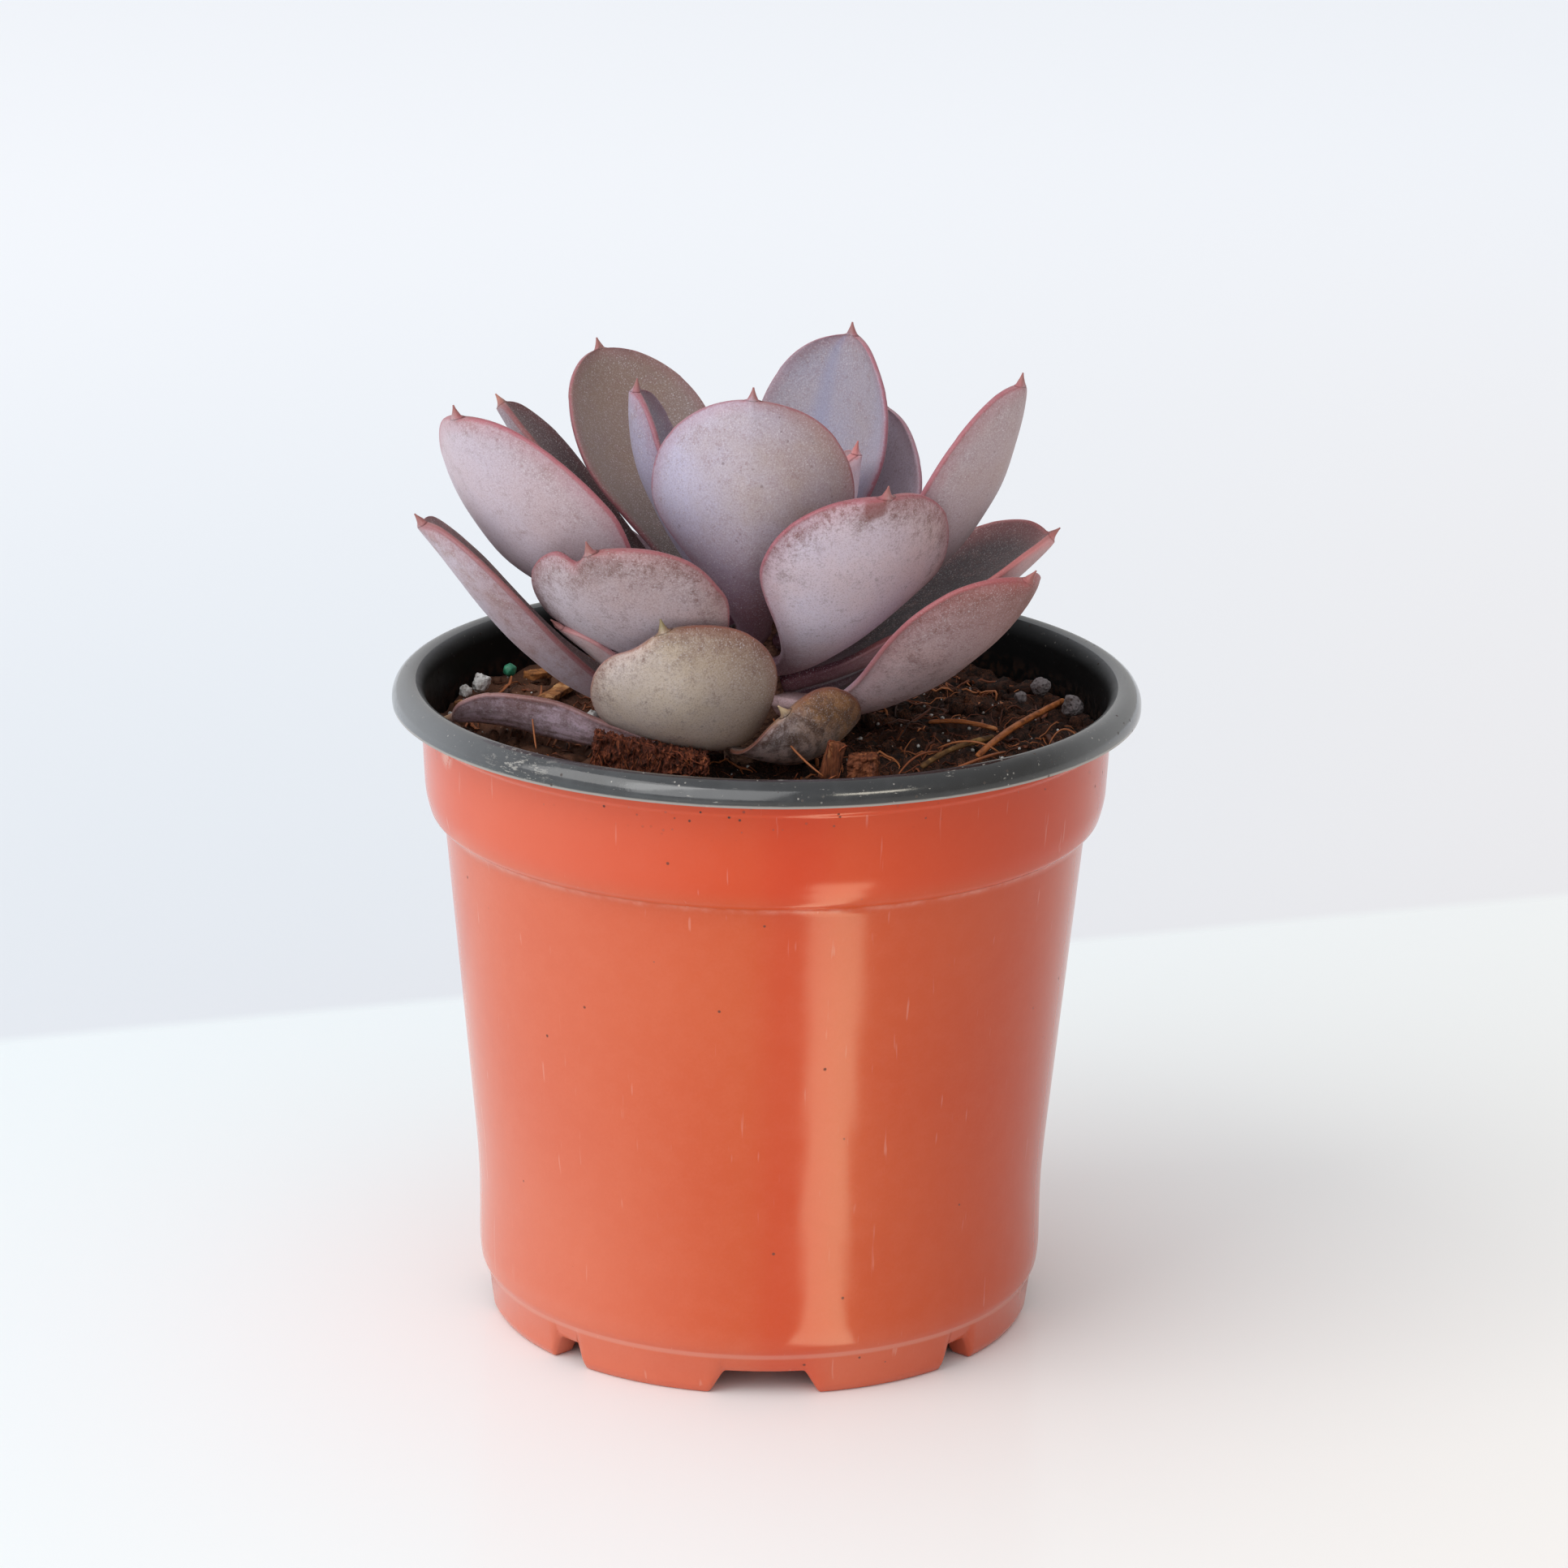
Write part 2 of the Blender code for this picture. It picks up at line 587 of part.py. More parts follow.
# Loose pieces, each let down onto the soil
def seat(points, faces, ground):
    """Move the points down or up until the piece lies just clear of the soil."""
    tree, corners = ground
    piece = BVHTree.FromPolygons([Vector(p) for p in points], faces)
    lows = [min(p[k] for p in points) for k in range(2)]
    highs = [max(p[k] for p in points) for k in range(2)]
    free = []
    for p in points:
        hit = tree.ray_cast(Vector((p[0], p[1], look_down_from)), Vector((0, 0, -1)))[0]
        free.append(p[2] - hit.z)
    for c in corners:
        if lows[0] <= c.x <= highs[0] and lows[1] <= c.y <= highs[1]:
            hit = piece.ray_cast(Vector((c.x, c.y, 0.0)), Vector((0, 0, 1)))[0]
            if hit:
                free.append(hit.z - c.z)
    drop = min(free) - seat_gap
    return [(p[0], p[1], p[2] - drop) for p in points]


def ground_of(soil):
    corners = [v.co.copy() for v in soil.data.vertices]
    faces = [tuple(f.vertices) for f in soil.data.polygons]
    return BVHTree.FromPolygons(corners, faces), [c for c in corners if c.z > soil_level - 5 * mm]


def build_chip(name, values, ground):
    """A block with rough faces, its long way along its own x."""
    chip = {**chip_usual, **values}
    size = Vector(chip["size"]) * mm
    centre = Vector((*chip["at"], 0.0))
    shape = bmesh.new()
    bmesh.ops.create_cube(shape, size=1.0)
    cuts = max(1, min(7, round(size.x / size.y)))
    long_edges = [e for e in shape.edges if abs(e.verts[0].co.x - e.verts[1].co.x) > 0.5]
    bmesh.ops.subdivide_edges(shape, edges=long_edges, cuts=cuts, use_grid_fill=True)
    tall_edges = [e for e in shape.edges if abs(e.verts[0].co.z - e.verts[1].co.z) > 0.5]
    bmesh.ops.subdivide_edges(shape, edges=tall_edges, cuts=1, use_grid_fill=True)
    bmesh.ops.triangulate(shape, faces=shape.faces[:])
    lean = Matrix.Rotation(radians(chip["lean"]), 3, "Y")
    turn = Matrix.Rotation(radians(chip["turn"]), 3, "Z") @ lean
    points = []
    for v in shape.verts:
        rough = noise.noise_vector(v.co * 7 + centre) * chip["rough"] * mm
        share = 1 - chip["fall"] * (v.co.x + 0.5)
        spot = Vector((v.co.x * size.x, v.co.y * size.y, ((v.co.z + 0.5) * share - 0.5) * size.z))
        points.append(turn @ (spot + rough) + centre * mm + Vector((0, 0, made_at)))
    faces = [tuple(v.index for v in f.verts) for f in shape.faces]
    shape.free()
    add_piece(name, seat(points, faces, ground), faces, chip["look"], sharp=30)


def build_straw(name, straw, ground):
    """A straight stick, slightly bowed."""
    first, last = (Vector((*end, 0.0)) * mm + Vector((0, 0, made_at)) for end in straw["ends"])
    way = last - first
    count = max(4, round(way.length / (3.5 * mm)))
    across = Vector((-way.y, way.x, 0.0)).normalized()
    half = straw["thick"] / 2 * mm
    points = []
    for k in range(count + 1):
        t = k / count
        middle = first + way * t + across * straw_bow * sin(5 * t)
        middle.z += straw_rise * sin(pi * t)
        for n in range(straw_sides):
            a = 2 * pi * n / straw_sides
            points.append(middle + across * half * cos(a) + Vector((0, 0, half * sin(a))))
    points += [first, last + across * straw_bow * sin(5)]
    faces = []
    for k in range(count):
        for n in range(straw_sides):
            a = k * straw_sides + n
            b = k * straw_sides + (n + 1) % straw_sides
            faces += [(a, b, b + straw_sides), (a, b + straw_sides, a + straw_sides)]
    far = count * straw_sides
    for n in range(straw_sides):
        m = (n + 1) % straw_sides
        faces += [(m, n, len(points) - 2), (far + n, far + m, len(points) - 1)]
    add_piece(name, seat(points, faces, ground), faces, straw["look"])


def build_grain(name, grain, ground):
    """A ball for the feed bead, an uneven ball for perlite."""
    centre = Vector((*grain["at"], 0.0))
    rough = 0.0 if grain["look"] == "feed_bead" else 0.22
    fine = 2 if grain["size"] > 2.5 else 1
    shape = bmesh.new()
    bmesh.ops.create_icosphere(shape, subdivisions=fine, radius=grain["size"] / 2 * mm)
    points = []
    for v in shape.verts:
        swell = 1 + rough * noise.noise(v.co / mm + centre)
        points.append(v.co * swell + centre * mm + Vector((0, 0, made_at)))
    faces = [tuple(v.index for v in f.verts) for f in shape.faces]
    shape.free()
    add_piece(name, seat(points, faces, ground), faces, grain["look"])


build_pot()
ground = ground_of(build_soil())
build_stem()
for leaf_name, leaf_values in leaves.items():
    build_leaf(leaf_name, leaf_values)
for chip_name, chip_values in chips.items():
    build_chip(chip_name, chip_values, ground)
for straw_name, straw_values in straws.items():
    build_straw(straw_name, straw_values, ground)
for grain_name, grain_values in grains.items():
    build_grain(grain_name, grain_values, ground)
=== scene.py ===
import random
from math import cos, exp, pi, radians, sin

import bmesh
import bpy
import numpy as np
from mathutils import Matrix, Vector, noise
from mathutils.bvhtree import BVHTree


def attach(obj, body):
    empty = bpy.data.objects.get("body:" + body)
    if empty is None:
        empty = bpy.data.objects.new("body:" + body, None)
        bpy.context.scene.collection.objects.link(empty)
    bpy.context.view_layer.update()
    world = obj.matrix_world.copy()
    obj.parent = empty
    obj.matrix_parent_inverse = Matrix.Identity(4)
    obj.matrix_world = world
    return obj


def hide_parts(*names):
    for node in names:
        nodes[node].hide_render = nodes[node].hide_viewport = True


# Potted echeveria: leaves, pot, soil and what lies on it, over the frame
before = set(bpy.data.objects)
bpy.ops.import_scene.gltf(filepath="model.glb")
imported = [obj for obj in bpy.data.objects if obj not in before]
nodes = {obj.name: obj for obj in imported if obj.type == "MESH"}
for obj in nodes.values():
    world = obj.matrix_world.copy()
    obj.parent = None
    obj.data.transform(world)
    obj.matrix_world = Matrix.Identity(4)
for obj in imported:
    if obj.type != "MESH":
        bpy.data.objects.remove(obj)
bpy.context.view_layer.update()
mm = 0.001
gap = 0.3 * mm
noise.seed_set(5)  # Blender starts its noise by the clock, and each run has to give the same leaves
print("frame loaded:", len(nodes), "nodes")

# Camera: a long lens, a little above the rim
eye = {
    "lens": 130.43, "sensor": 36.0, "place": (0.0, -0.72974, 0.29555), "clip": (0.02, 20.0),
    "pitch": 0.2958, "yaw": 0.0034, "roll": 0.0149,  # radians, pitch downwards
}


def put(name, data):
    made = bpy.data.objects.new(name, data)
    bpy.context.scene.collection.objects.link(made)
    return made


def makeCamera():
    pitch, yaw, roll = eye["pitch"], eye["yaw"], eye["roll"]
    forward = Vector((sin(yaw) * cos(pitch), cos(yaw) * cos(pitch), -sin(pitch)))
    level = Vector((cos(yaw), -sin(yaw), 0.0))
    above = level.cross(forward)
    right = level * cos(roll) + above * sin(roll)
    up = above * cos(roll) - level * sin(roll)
    lens = bpy.data.cameras.new("camera")
    lens.lens = eye["lens"]
    lens.sensor_width = eye["sensor"]
    lens.clip_start, lens.clip_end = eye["clip"]
    camera = put("camera", lens)
    turned = Matrix((right, up, -forward)).transposed().to_4x4()
    camera.matrix_world = Matrix.Translation(eye["place"]) @ turned
    bpy.context.scene.camera = camera


makeCamera()


# Shader sums
def linear(colour, light=1.0):
    # screen colour, 0 to 255, to the numbers of a shader
    return tuple(light * (c / 255 / 12.92 if c <= 10 else ((c / 255 + 0.055) / 1.055) ** 2.4) for c in colour)


class Wire:
    # one output of a node, that can be used in sums
    def __init__(self, paint, socket):
        self.paint = paint
        self.socket = socket

    def math(self, job, *others, clamp=False):
        values = dict(enumerate((self, *others)))
        return self.paint.node("ShaderNodeMath", {"operation": job, "use_clamp": clamp}, values)

    def __add__(self, other):
        return self.math("ADD", other)

    def __mul__(self, other):
        return self.math("MULTIPLY", other)

    def __sub__(self, other):
        return self.math("SUBTRACT", other)

    def __rsub__(self, other):
        return self.paint.node("ShaderNodeMath", {"operation": "SUBTRACT"}, {0: other, 1: self})

    __radd__ = __add__
    __rmul__ = __mul__

    def held(self):
        return self.math("ADD", 0.0, clamp=True)

    def most(self, other):
        return self.math("MAXIMUM", other)

    def step(self, low, high):
        # 0 at low, 1 at high, soft between
        values = {"Value": self, "From Min": low, "From Max": high}
        return self.paint.node("ShaderNodeMapRange", {"interpolation_type": "SMOOTHSTEP"}, values)


class Paint:
    # a material with its nodes
    def __init__(self, name, **fixed):
        self.material = bpy.data.materials.new(name)
        self.material.use_nodes = True
        self.tree = self.material.node_tree
        self.shader = self.tree.nodes["Principled BSDF"]
        for socket, value in fixed.items():
            self.shader.inputs[socket.replace("_", " ")].default_value = value
        self.place = self.node("ShaderNodeTexCoord", out="Object")

    def feed(self, socket, value):
        if isinstance(value, Wire):
            self.tree.links.new(value.socket, socket)
        elif isinstance(value, tuple) and socket.type == "RGBA":
            socket.default_value = (*value[:3], 1.0)
        else:
            socket.default_value = value

    def node(self, kind, settings=None, values=None, out=0):
        made = self.tree.nodes.new(kind)
        for key, value in (settings or {}).items():
            setattr(made, key, value)
        for key, value in (values or {}).items():
            self.feed(made.inputs[key], value)
        return Wire(self, made.outputs[out])

    def scaled(self, by):
        # place in millimetres times by, a number or three
        by = by if isinstance(by, tuple) else (by, by, by)
        values = {0: self.place, 1: tuple(b / mm for b in by)}
        return self.node("ShaderNodeVectorMath", {"operation": "MULTIPLY"}, values)

    def cloud(self, perMm, detail=2.0, rough=0.5):
        values = {"Vector": self.scaled(perMm), "Scale": 1.0, "Detail": detail, "Roughness": rough}
        return self.node("ShaderNodeTexNoise", {}, values)

    def cells(self, perMm):
        values = {"Vector": self.scaled(perMm), "Scale": 1.0}
        return self.node("ShaderNodeTexVoronoi", {}, values, out="Distance")

    def specks(self, perMm, ends, drift, driftEnds, detail=1.0):
        # small spots that come in drifts
        return self.cells(perMm).step(*ends) * self.cloud(drift, detail).step(*driftEnds)

    def layer(self, name):
        return self.node("ShaderNodeAttribute", {"attribute_name": name}, out="Fac")

    def mix(self, factor, first, second):
        settings = {"data_type": "RGBA", "clamp_factor": True}
        return self.node("ShaderNodeMix", settings, {0: factor, 6: first, 7: second}, out=2)

    def base(self, factor, first, second, light=1.0):
        # two screen colours, the ground of the skin
        self.skin = self.mix(factor, linear(first, light), linear(second, light))
        return self.skin

    def coat(self, factor, colour, light=1.0):
        # one more screen colour over the skin
        self.skin = self.mix(factor, self.skin, linear(colour, light))

    def axes(self):
        apart = self.node("ShaderNodeSeparateXYZ", {}, {0: self.scaled(1.0)})
        return apart, Wire(self, apart.socket.node.outputs[1]), Wire(self, apart.socket.node.outputs[2])

    def near(self, spot, reach):
        # 1 at a place in millimetres, 0 at the distance of reach
        values = {0: self.scaled(1.0), 1: spot}
        far = self.node("ShaderNodeVectorMath", {"operation": "DISTANCE"}, values, out="Value")
        return far.step(reach, reach * 0.25)

    def finish(self, roughness, height, depth, strength):
        # depth of the bumps in millimetres
        values = {"Height": height, "Distance": depth * mm, "Strength": strength}
        self.feed(self.shader.inputs["Base Color"], self.skin)
        self.feed(self.shader.inputs["Roughness"], roughness)
        self.feed(self.shader.inputs["Normal"], self.node("ShaderNodeBump", {}, values))
        return self


class Sky(Paint):
    # the room's light, by direction
    def __init__(self, name):
        self.world = bpy.data.worlds.new(name)
        self.world.use_nodes = True
        self.tree = self.world.node_tree
        self.shader = self.tree.nodes["Background"]
        self.place = self.node("ShaderNodeTexCoord", out="Generated")


# Pieces
def ringFaces(rings, around):
    # quads between closed rings, and a face over each end
    i, j = np.meshgrid(np.arange(rings - 1), np.arange(around), indexing="ij")
    a = i * around + j
    b = i * around + (j + 1) % around
    faces = np.stack([a, a + around, b + around, b], axis=-1).reshape(-1, 4).tolist()
    faces.append(list(range(around)))
    faces.append([(rings - 1) * around + j for j in reversed(range(around))])
    return faces


def dress(name, mesh, node):
    piece = put(name, mesh)
    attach(piece, "root")
    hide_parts(node)
    return piece


def addPiece(name, points, faces, paints, node, kinds=None, layers=None, sharp=None):
    mesh = bpy.data.meshes.new(name)
    mesh.from_pydata(np.asarray(points, float).tolist(), [], faces)
    mesh.shade_smooth()
    if sharp:
        mesh.set_sharp_from_angle(angle=radians(sharp))
    for paint in paints:
        mesh.materials.append(paint.material)
    if kinds is not None:
        mesh.polygons.foreach_set("material_index", kinds)
    for key, values in (layers or {}).items():
        mesh.attributes.new(key, "FLOAT", "POINT").data.foreach_set("value", np.asarray(values, np.float32))
    mesh.update()
    return dress(name, mesh, node)


def smooth(low, high, x):
    k = np.clip((x - low) / (high - low), 0.0, 1.0)
    return k * k * (3 - 2 * k)


# Stem
stem = {"x": -1.5 * mm, "foot": 84 * mm, "top": 101 * mm, "r": 4.2 * mm, "tipR": 1.5 * mm}


def stemRadius(z):
    k = min(max((z - stem["foot"]) / (stem["top"] - stem["foot"]), 0.0), 1.0)
    return stem["r"] + (stem["tipR"] - stem["r"]) * k ** 1.5


# Leaves. Lengths are in millimetres, angles in degrees, colours as on a screen.
# turn, foot, reach, top: heading about the stem, height on it, distance and height of the tip
# start, finish: slope at the root and at the tip; width, widest, neck: the blade's widths
# cup, roll, sweep, lean: hollow, twist, sideways shift of the tip and how the tip turns to it
# thick, blunt, bend, keel: the blade's body, its end, how far its ends' slopes reach, its ridge
# dent, wave: unevenness; dips: hollows in the margin as (place across, width, depth)
leafUsual = dict(
    start=20, finish=60, width=25, widest=0.64, neck=4.6, cup=0.3, roll=0, sweep=0,
    lean=1.5, thick=2.6, blunt=2.0, bend=0.38, dent=0.22, keel=0.1, wave=0.1, dips=(),
)
# cool, warm: the mealy bloom's two tones; flesh: the leaf where the bloom is worn off
# inner, innerWarm: the same two tones on the upper face; side: how much cooler to the right
# light: a factor on most of a leaf's tones, set leaf by leaf; it brightens leaves that lie in shade and
# darkens some in full light: painted light and shade
lookUsual = dict(
    cool=(190, 183, 203), warm=(184, 164, 166), flesh=(152, 116, 112), inner=(158, 152, 170),
    innerWarm=(148, 132, 128), coolness=0.5, side=0.0, worn=0.12, crumbs=0.2, rim=(158, 78, 88),
    rimWide=0.7, tip=(156, 100, 92), root=(112, 44, 70), rootEnd=0.34, dots=0.35, marks=(), light=1.0,
    # fold: a pale streak painted from the midrib, a painted highlight where a fold of the blade would catch
    # the light; the blade itself has no fold
    fold=0.0,  # where a pale fold runs, from the midrib
    ruddy=(0.15, 1, 0.0),  # share towards the tip; side and share there
    mottle=1.0, veins=0.0,  # for the old leaves
)
leaves = {
    "leaf_front_upright": dict(
        turn=-5, foot=95.8, reach=14, top=130.9, start=40, finish=95, width=26.5, widest=0.62, cup=0.35,
        blunt=2.2, sweep=0.5, keel=0.22, look=dict(
            ruddy=(0.1, 1, 0.35), light=0.94, cool=(206, 200, 224), warm=(190, 170, 166), side=-0.6,
            root=(104, 36, 64), rootEnd=0.62, dots=0.6)),
    "leaf_inner_left": dict(
        turn=-95, foot=97, reach=16.2, top=128.3, start=60, finish=90, width=15.5, widest=0.6, cup=0.45,
        neck=3.6, look=dict(
            light=0.94, cool=(184, 180, 208), warm=(178, 168, 184), coolness=0.8)),
    # its dark brown root tone, reaching far along the blade, is painted shade deep in the rosette
    "leaf_back_left_tall": dict(
        turn=-140, foot=93.8, reach=34.7, top=128, start=35, finish=62, width=23.5, widest=0.66, look=dict(
            light=0.87, inner=(150, 138, 140), innerWarm=(156, 132, 118), coolness=0.2, rim=(160, 84, 94),
            root=(50, 42, 48), rootEnd=0.65)),
    "leaf_left_narrow": dict(
        turn=-111, foot=90.6, reach=38, top=123.1, start=30, finish=50, width=16, widest=0.68, roll=14,
        neck=3.2, look=dict(
            light=0.6, inner=(110, 88, 92), innerWarm=(112, 84, 80), rim=(140, 74, 74),
            tip=(190, 130, 112))),
    "leaf_left_broad": dict(
        turn=-73, foot=93, reach=41.4, top=127.6, start=12, finish=74, width=30, widest=0.61, roll=25,
        neck=3.6, thick=2.3, look=dict(
            ruddy=(0.1, 1, 0.3), cool=(214, 204, 220), warm=(206, 184, 190), coolness=0.45,
            rim=(170, 72, 84), rimWide=0.9, crumbs=0.35,
            marks=((-32.5, -18.5, 102.0, 3.2), (-19.0, -17.0, 106.0, 4.0)))),
    "leaf_left_low": dict(
        turn=-80, foot=84.8, reach=45.6, top=111.9, start=-8, finish=50, width=20, widest=0.71, roll=4,
        neck=4, thick=2.3, look=dict(
            light=1.2, cool=(196, 190, 206), warm=(176, 148, 152), worn=0.34, rim=(150, 78, 80),
            rimWide=0.9, inner=(120, 112, 112), innerWarm=(112, 100, 96), crumbs=0.4, rootEnd=0.1,
            mottle=1.6)),
    "leaf_front_left": dict(
        turn=-42.5, foot=89.8, reach=32.5, top=112.8, start=14, finish=68, width=27, cup=0.25, roll=19,
        neck=4, thick=2.3, blunt=2.6, wave=0.35, dips=((-3.0, 3.4, 2.0),), look=dict(
            ruddy=(0.3, 1, 0.0), light=1.34, cool=(204, 196, 208), warm=(178, 154, 154), worn=0.22,
            crumbs=0.9, rim=(156, 72, 80), coolness=0.45, side=-0.5, marks=((-22.5, -20.5, 109.0, 2.4),),
            flesh=(116, 82, 76))),
    "leaf_front_low": dict(
        turn=-18.5, foot=84.9, reach=26.5, top=102.5, start=-23, finish=90, width=24.5, cup=0.25, roll=21,
        sweep=-4.3, blunt=2.4, bend=0.45, wave=0.3, dips=((-4.4, 6.2, 1.15),), look=dict(
            ruddy=(0.3, 1, 0.7), light=1.9, cool=(184, 175, 173), warm=(180, 165, 146), flesh=(88, 58, 46),
            coolness=0.35, side=-0.15, worn=0.08, crumbs=0.6, rim=(138, 76, 58), rimWide=0.6,
            tip=(132, 122, 78), rootEnd=0.15)),
    "leaf_front_right": dict(
        turn=43, foot=91.3, reach=26.4, top=119.6, start=14, finish=75, width=27, roll=-16, sweep=-1.6,
        neck=4, thick=2.3, blunt=2.3, wave=0.2, look=dict(
            ruddy=(0.35, 1, 0.12), light=1.46, cool=(206, 196, 212), warm=(198, 174, 176), side=-0.25,
            crumbs=0.95, rim=(160, 66, 78), rimWide=1.0,
            marks=((24.5, -19.0, 115.5, 3.6), (14.0, -23.0, 117.0, 4.5)), flesh=(110, 74, 68))),
    # its near-white pink root tone lights up the neck, which lies in shade: painted light
    "leaf_right_low": dict(
        turn=61, foot=86, reach=41.3, top=108.5, start=-1, finish=50, width=22.5, widest=0.7, roll=-12,
        neck=4.2, look=dict(
            ruddy=(0.85, 1, 0.55), light=1.8, cool=(186, 170, 176), warm=(168, 134, 130),
            flesh=(104, 60, 52), worn=0.3, side=-0.3, rim=(164, 74, 78), rimWide=0.9, root=(255, 215, 215),
            crumbs=0.45)),
    "leaf_right_tall": dict(
        turn=83.5, foot=94.1, reach=34.5, top=130.9, start=13, finish=80, width=22.4, roll=-20, neck=3.8,
        thick=2.2, look=dict(
            light=1.02, cool=(190, 176, 186), warm=(180, 156, 154), rim=(170, 78, 88), rimWide=0.8,
            marks=((25.5, -7.5, 106.5, 2.4),))),
    # its dark upper face is painted shade, where the leaves above keep the light off it; its pale pink rim is
    # its own red rim with a painted highlight along the edge
    "leaf_right_spread": dict(
        turn=93, foot=88.6, reach=40.2, top=108.6, start=14, finish=38, width=26, roll=2, look=dict(
            inner=(66, 58, 60), innerWarm=(58, 48, 50), cool=(215, 190, 196), warm=(205, 165, 165),
            rim=(216, 126, 124), rimWide=1.6)),
    "leaf_back_right_tall": dict(
        turn=136.5, foot=95.4, reach=17.8, top=133.7, start=45, finish=85, width=23.3, cup=0.35, look=dict(
            light=0.89, fold=0.3, inner=(182, 184, 210), innerWarm=(184, 172, 178), rim=(168, 84, 96))),
    # its very pale upper face is painted light, on a face that lies in shade
    "leaf_back_right_inner": dict(
        turn=131, foot=91.1, reach=21.8, top=123.7, start=32, finish=80, width=23.1, roll=12, neck=4.2,
        look=dict(
            inner=(222, 213, 232), innerWarm=(207, 189, 196), rim=(172, 110, 122))),
    "leaf_heart_right": dict(
        turn=85, foot=98, reach=13, top=121, start=45, finish=75, width=13, cup=0.4, neck=3, look=dict(
            light=1.9, rim=(214, 124, 124), tip=(210, 120, 110))),
    "leaf_on_soil_left": dict(
        turn=-57, foot=81.2, reach=36.2, top=82.4, start=-9, finish=-8, width=11, widest=0.8, roll=33,
        sweep=-21.5, lean=1.3, neck=3.4, thick=1.8, blunt=1.8, bend=0.42, wave=0.3, dent=0.3, look=dict(
            light=2.6, cool=(170, 162, 182), warm=(140, 112, 112), flesh=(84, 62, 60), worn=0.45,
            rim=(150, 100, 92), rimWide=0.8, tip=(206, 168, 128), rootEnd=0.05, inner=(120, 104, 104),
            innerWarm=(104, 84, 80), crumbs=0.6, mottle=2.4, veins=0.45)),
    "leaf_withered": dict(
        turn=25, foot=80.4, reach=21.2, top=90.4, start=-12, finish=95, width=18.4, widest=0.62, roll=4,
        sweep=-6.7, lean=3, neck=4, thick=1.6, blunt=2.2, bend=0.44, wave=0.5, dent=0.35, look=dict(
            light=1.7, cool=(190, 178, 178), warm=(142, 102, 64), flesh=(70, 50, 38), worn=0.35, side=-0.8,
            crumbs=0.5, rim=(120, 62, 44), rimWide=0.9, tip=(206, 180, 140), rootEnd=0.05,
            inner=(110, 90, 70), innerWarm=(100, 76, 52), mottle=2.4, veins=0.6)),
    "leaf_left_tucked": dict(
        turn=-67, foot=86.7, reach=29.2, top=98.8, start=-2, finish=38, width=12, cup=0.2, neck=3.4,
        thick=1.5, blunt=2.6, look=dict(
            light=1.98, cool=(184, 174, 184), warm=(176, 160, 158), worn=0.3, rim=(186, 110, 110),
            rootEnd=0.1)),
    "leaf_back_1": dict(
        turn=160, foot=88.2, reach=36, top=109, start=14, finish=45, width=20, neck=4),
    "leaf_back_2": dict(
        turn=-163, foot=85.6, reach=37, top=99, start=3, finish=35, width=21, neck=4),
    "leaf_back_3": dict(
        turn=-126, foot=88, reach=34, top=106, start=10, finish=45, width=18, neck=4),
    "leaf_back_4": dict(
        turn=128, foot=85.2, reach=36, top=97, start=2, finish=35, width=20),
    "leaf_back_5": dict(
        turn=-177, foot=90.8, reach=27, top=112, start=26, finish=62, width=14.5, neck=3),
    "leaf_heart_1": dict(
        turn=30, foot=99.2, reach=7.5, top=119, start=60, finish=88, width=9, neck=2.6, thick=1.8,
        cup=0.4),
    "leaf_heart_2": dict(
        turn=-165, foot=98.8, reach=9.5, top=120, start=55, finish=85, width=10, neck=2.6, thick=1.8,
        cup=0.4),
    "leaf_heart_3": dict(
        turn=130, foot=100, reach=5, top=117, start=65, finish=92, width=7, neck=2.2, thick=1.6, cup=0.4),
    "leaf_heart_4": dict(
        turn=-60, foot=100, reach=5.5, top=116, start=68, finish=92, width=7.5, neck=2.2, thick=1.6,
        cup=0.4),
}
leafTones = {
    "crust": (108, 66, 56), "dots": (98, 74, 72), "meal": (226, 218, 220), "grain": (222, 212, 216),
    "mark": (122, 66, 58), "fold": (150, 154, 186),
}
# steps along, at the spine, across and round the rim; the rim's thickness and the spine's length
leafGrid = {
    "low": 30, "high": 30, "spine": 10, "across": 30, "rim": 4, "edge": 0.7 * mm, "spineLong": 1.7 * mm,
    "curve": 401, "margin": 500,
}


def leafMidrib(leaf):
    turn = radians(leaf["turn"])
    out = np.array([sin(turn), -cos(turn), 0.0])
    side = np.array([cos(turn), sin(turn), 0.0])
    up = np.array([0.0, 0.0, 1.0])
    axis = np.array([stem["x"], 0.0, 0.0])
    start, finish = radians(leaf["start"]), radians(leaf["finish"])
    clear = gap + max(-sin(start), 0.0) * leaf["thick"] * 1.15 * mm
    root = axis + out * (stemRadius(leaf["foot"] * mm) + clear) + up * leaf["foot"] * mm
    tip = axis + out * leaf["reach"] * mm + side * leaf["sweep"] * mm + up * leaf["top"] * mm
    chord = np.linalg.norm(tip - root)
    leave = out * cos(start) + up * sin(start)
    arrive = out * cos(finish) + up * sin(finish) + side * leaf["sweep"] * mm / chord * leaf["lean"]
    arrive /= np.linalg.norm(arrive)
    reach = chord * leaf["bend"]
    return (root, root + leave * reach, tip - arrive * reach, tip), side


def bezier(ribs, q):
    a, b, c, d = ribs
    q = np.asarray(q)[:, None]
    points = a * (1 - q) ** 3 + 3 * b * q * (1 - q) ** 2 + 3 * c * q * q * (1 - q) + d * q ** 3
    along = 3 * ((b - a) * (1 - q) ** 2 + 2 * (c - b) * q * (1 - q) + (d - c) * q * q)
    return points, along / np.linalg.norm(along, axis=1)[:, None]


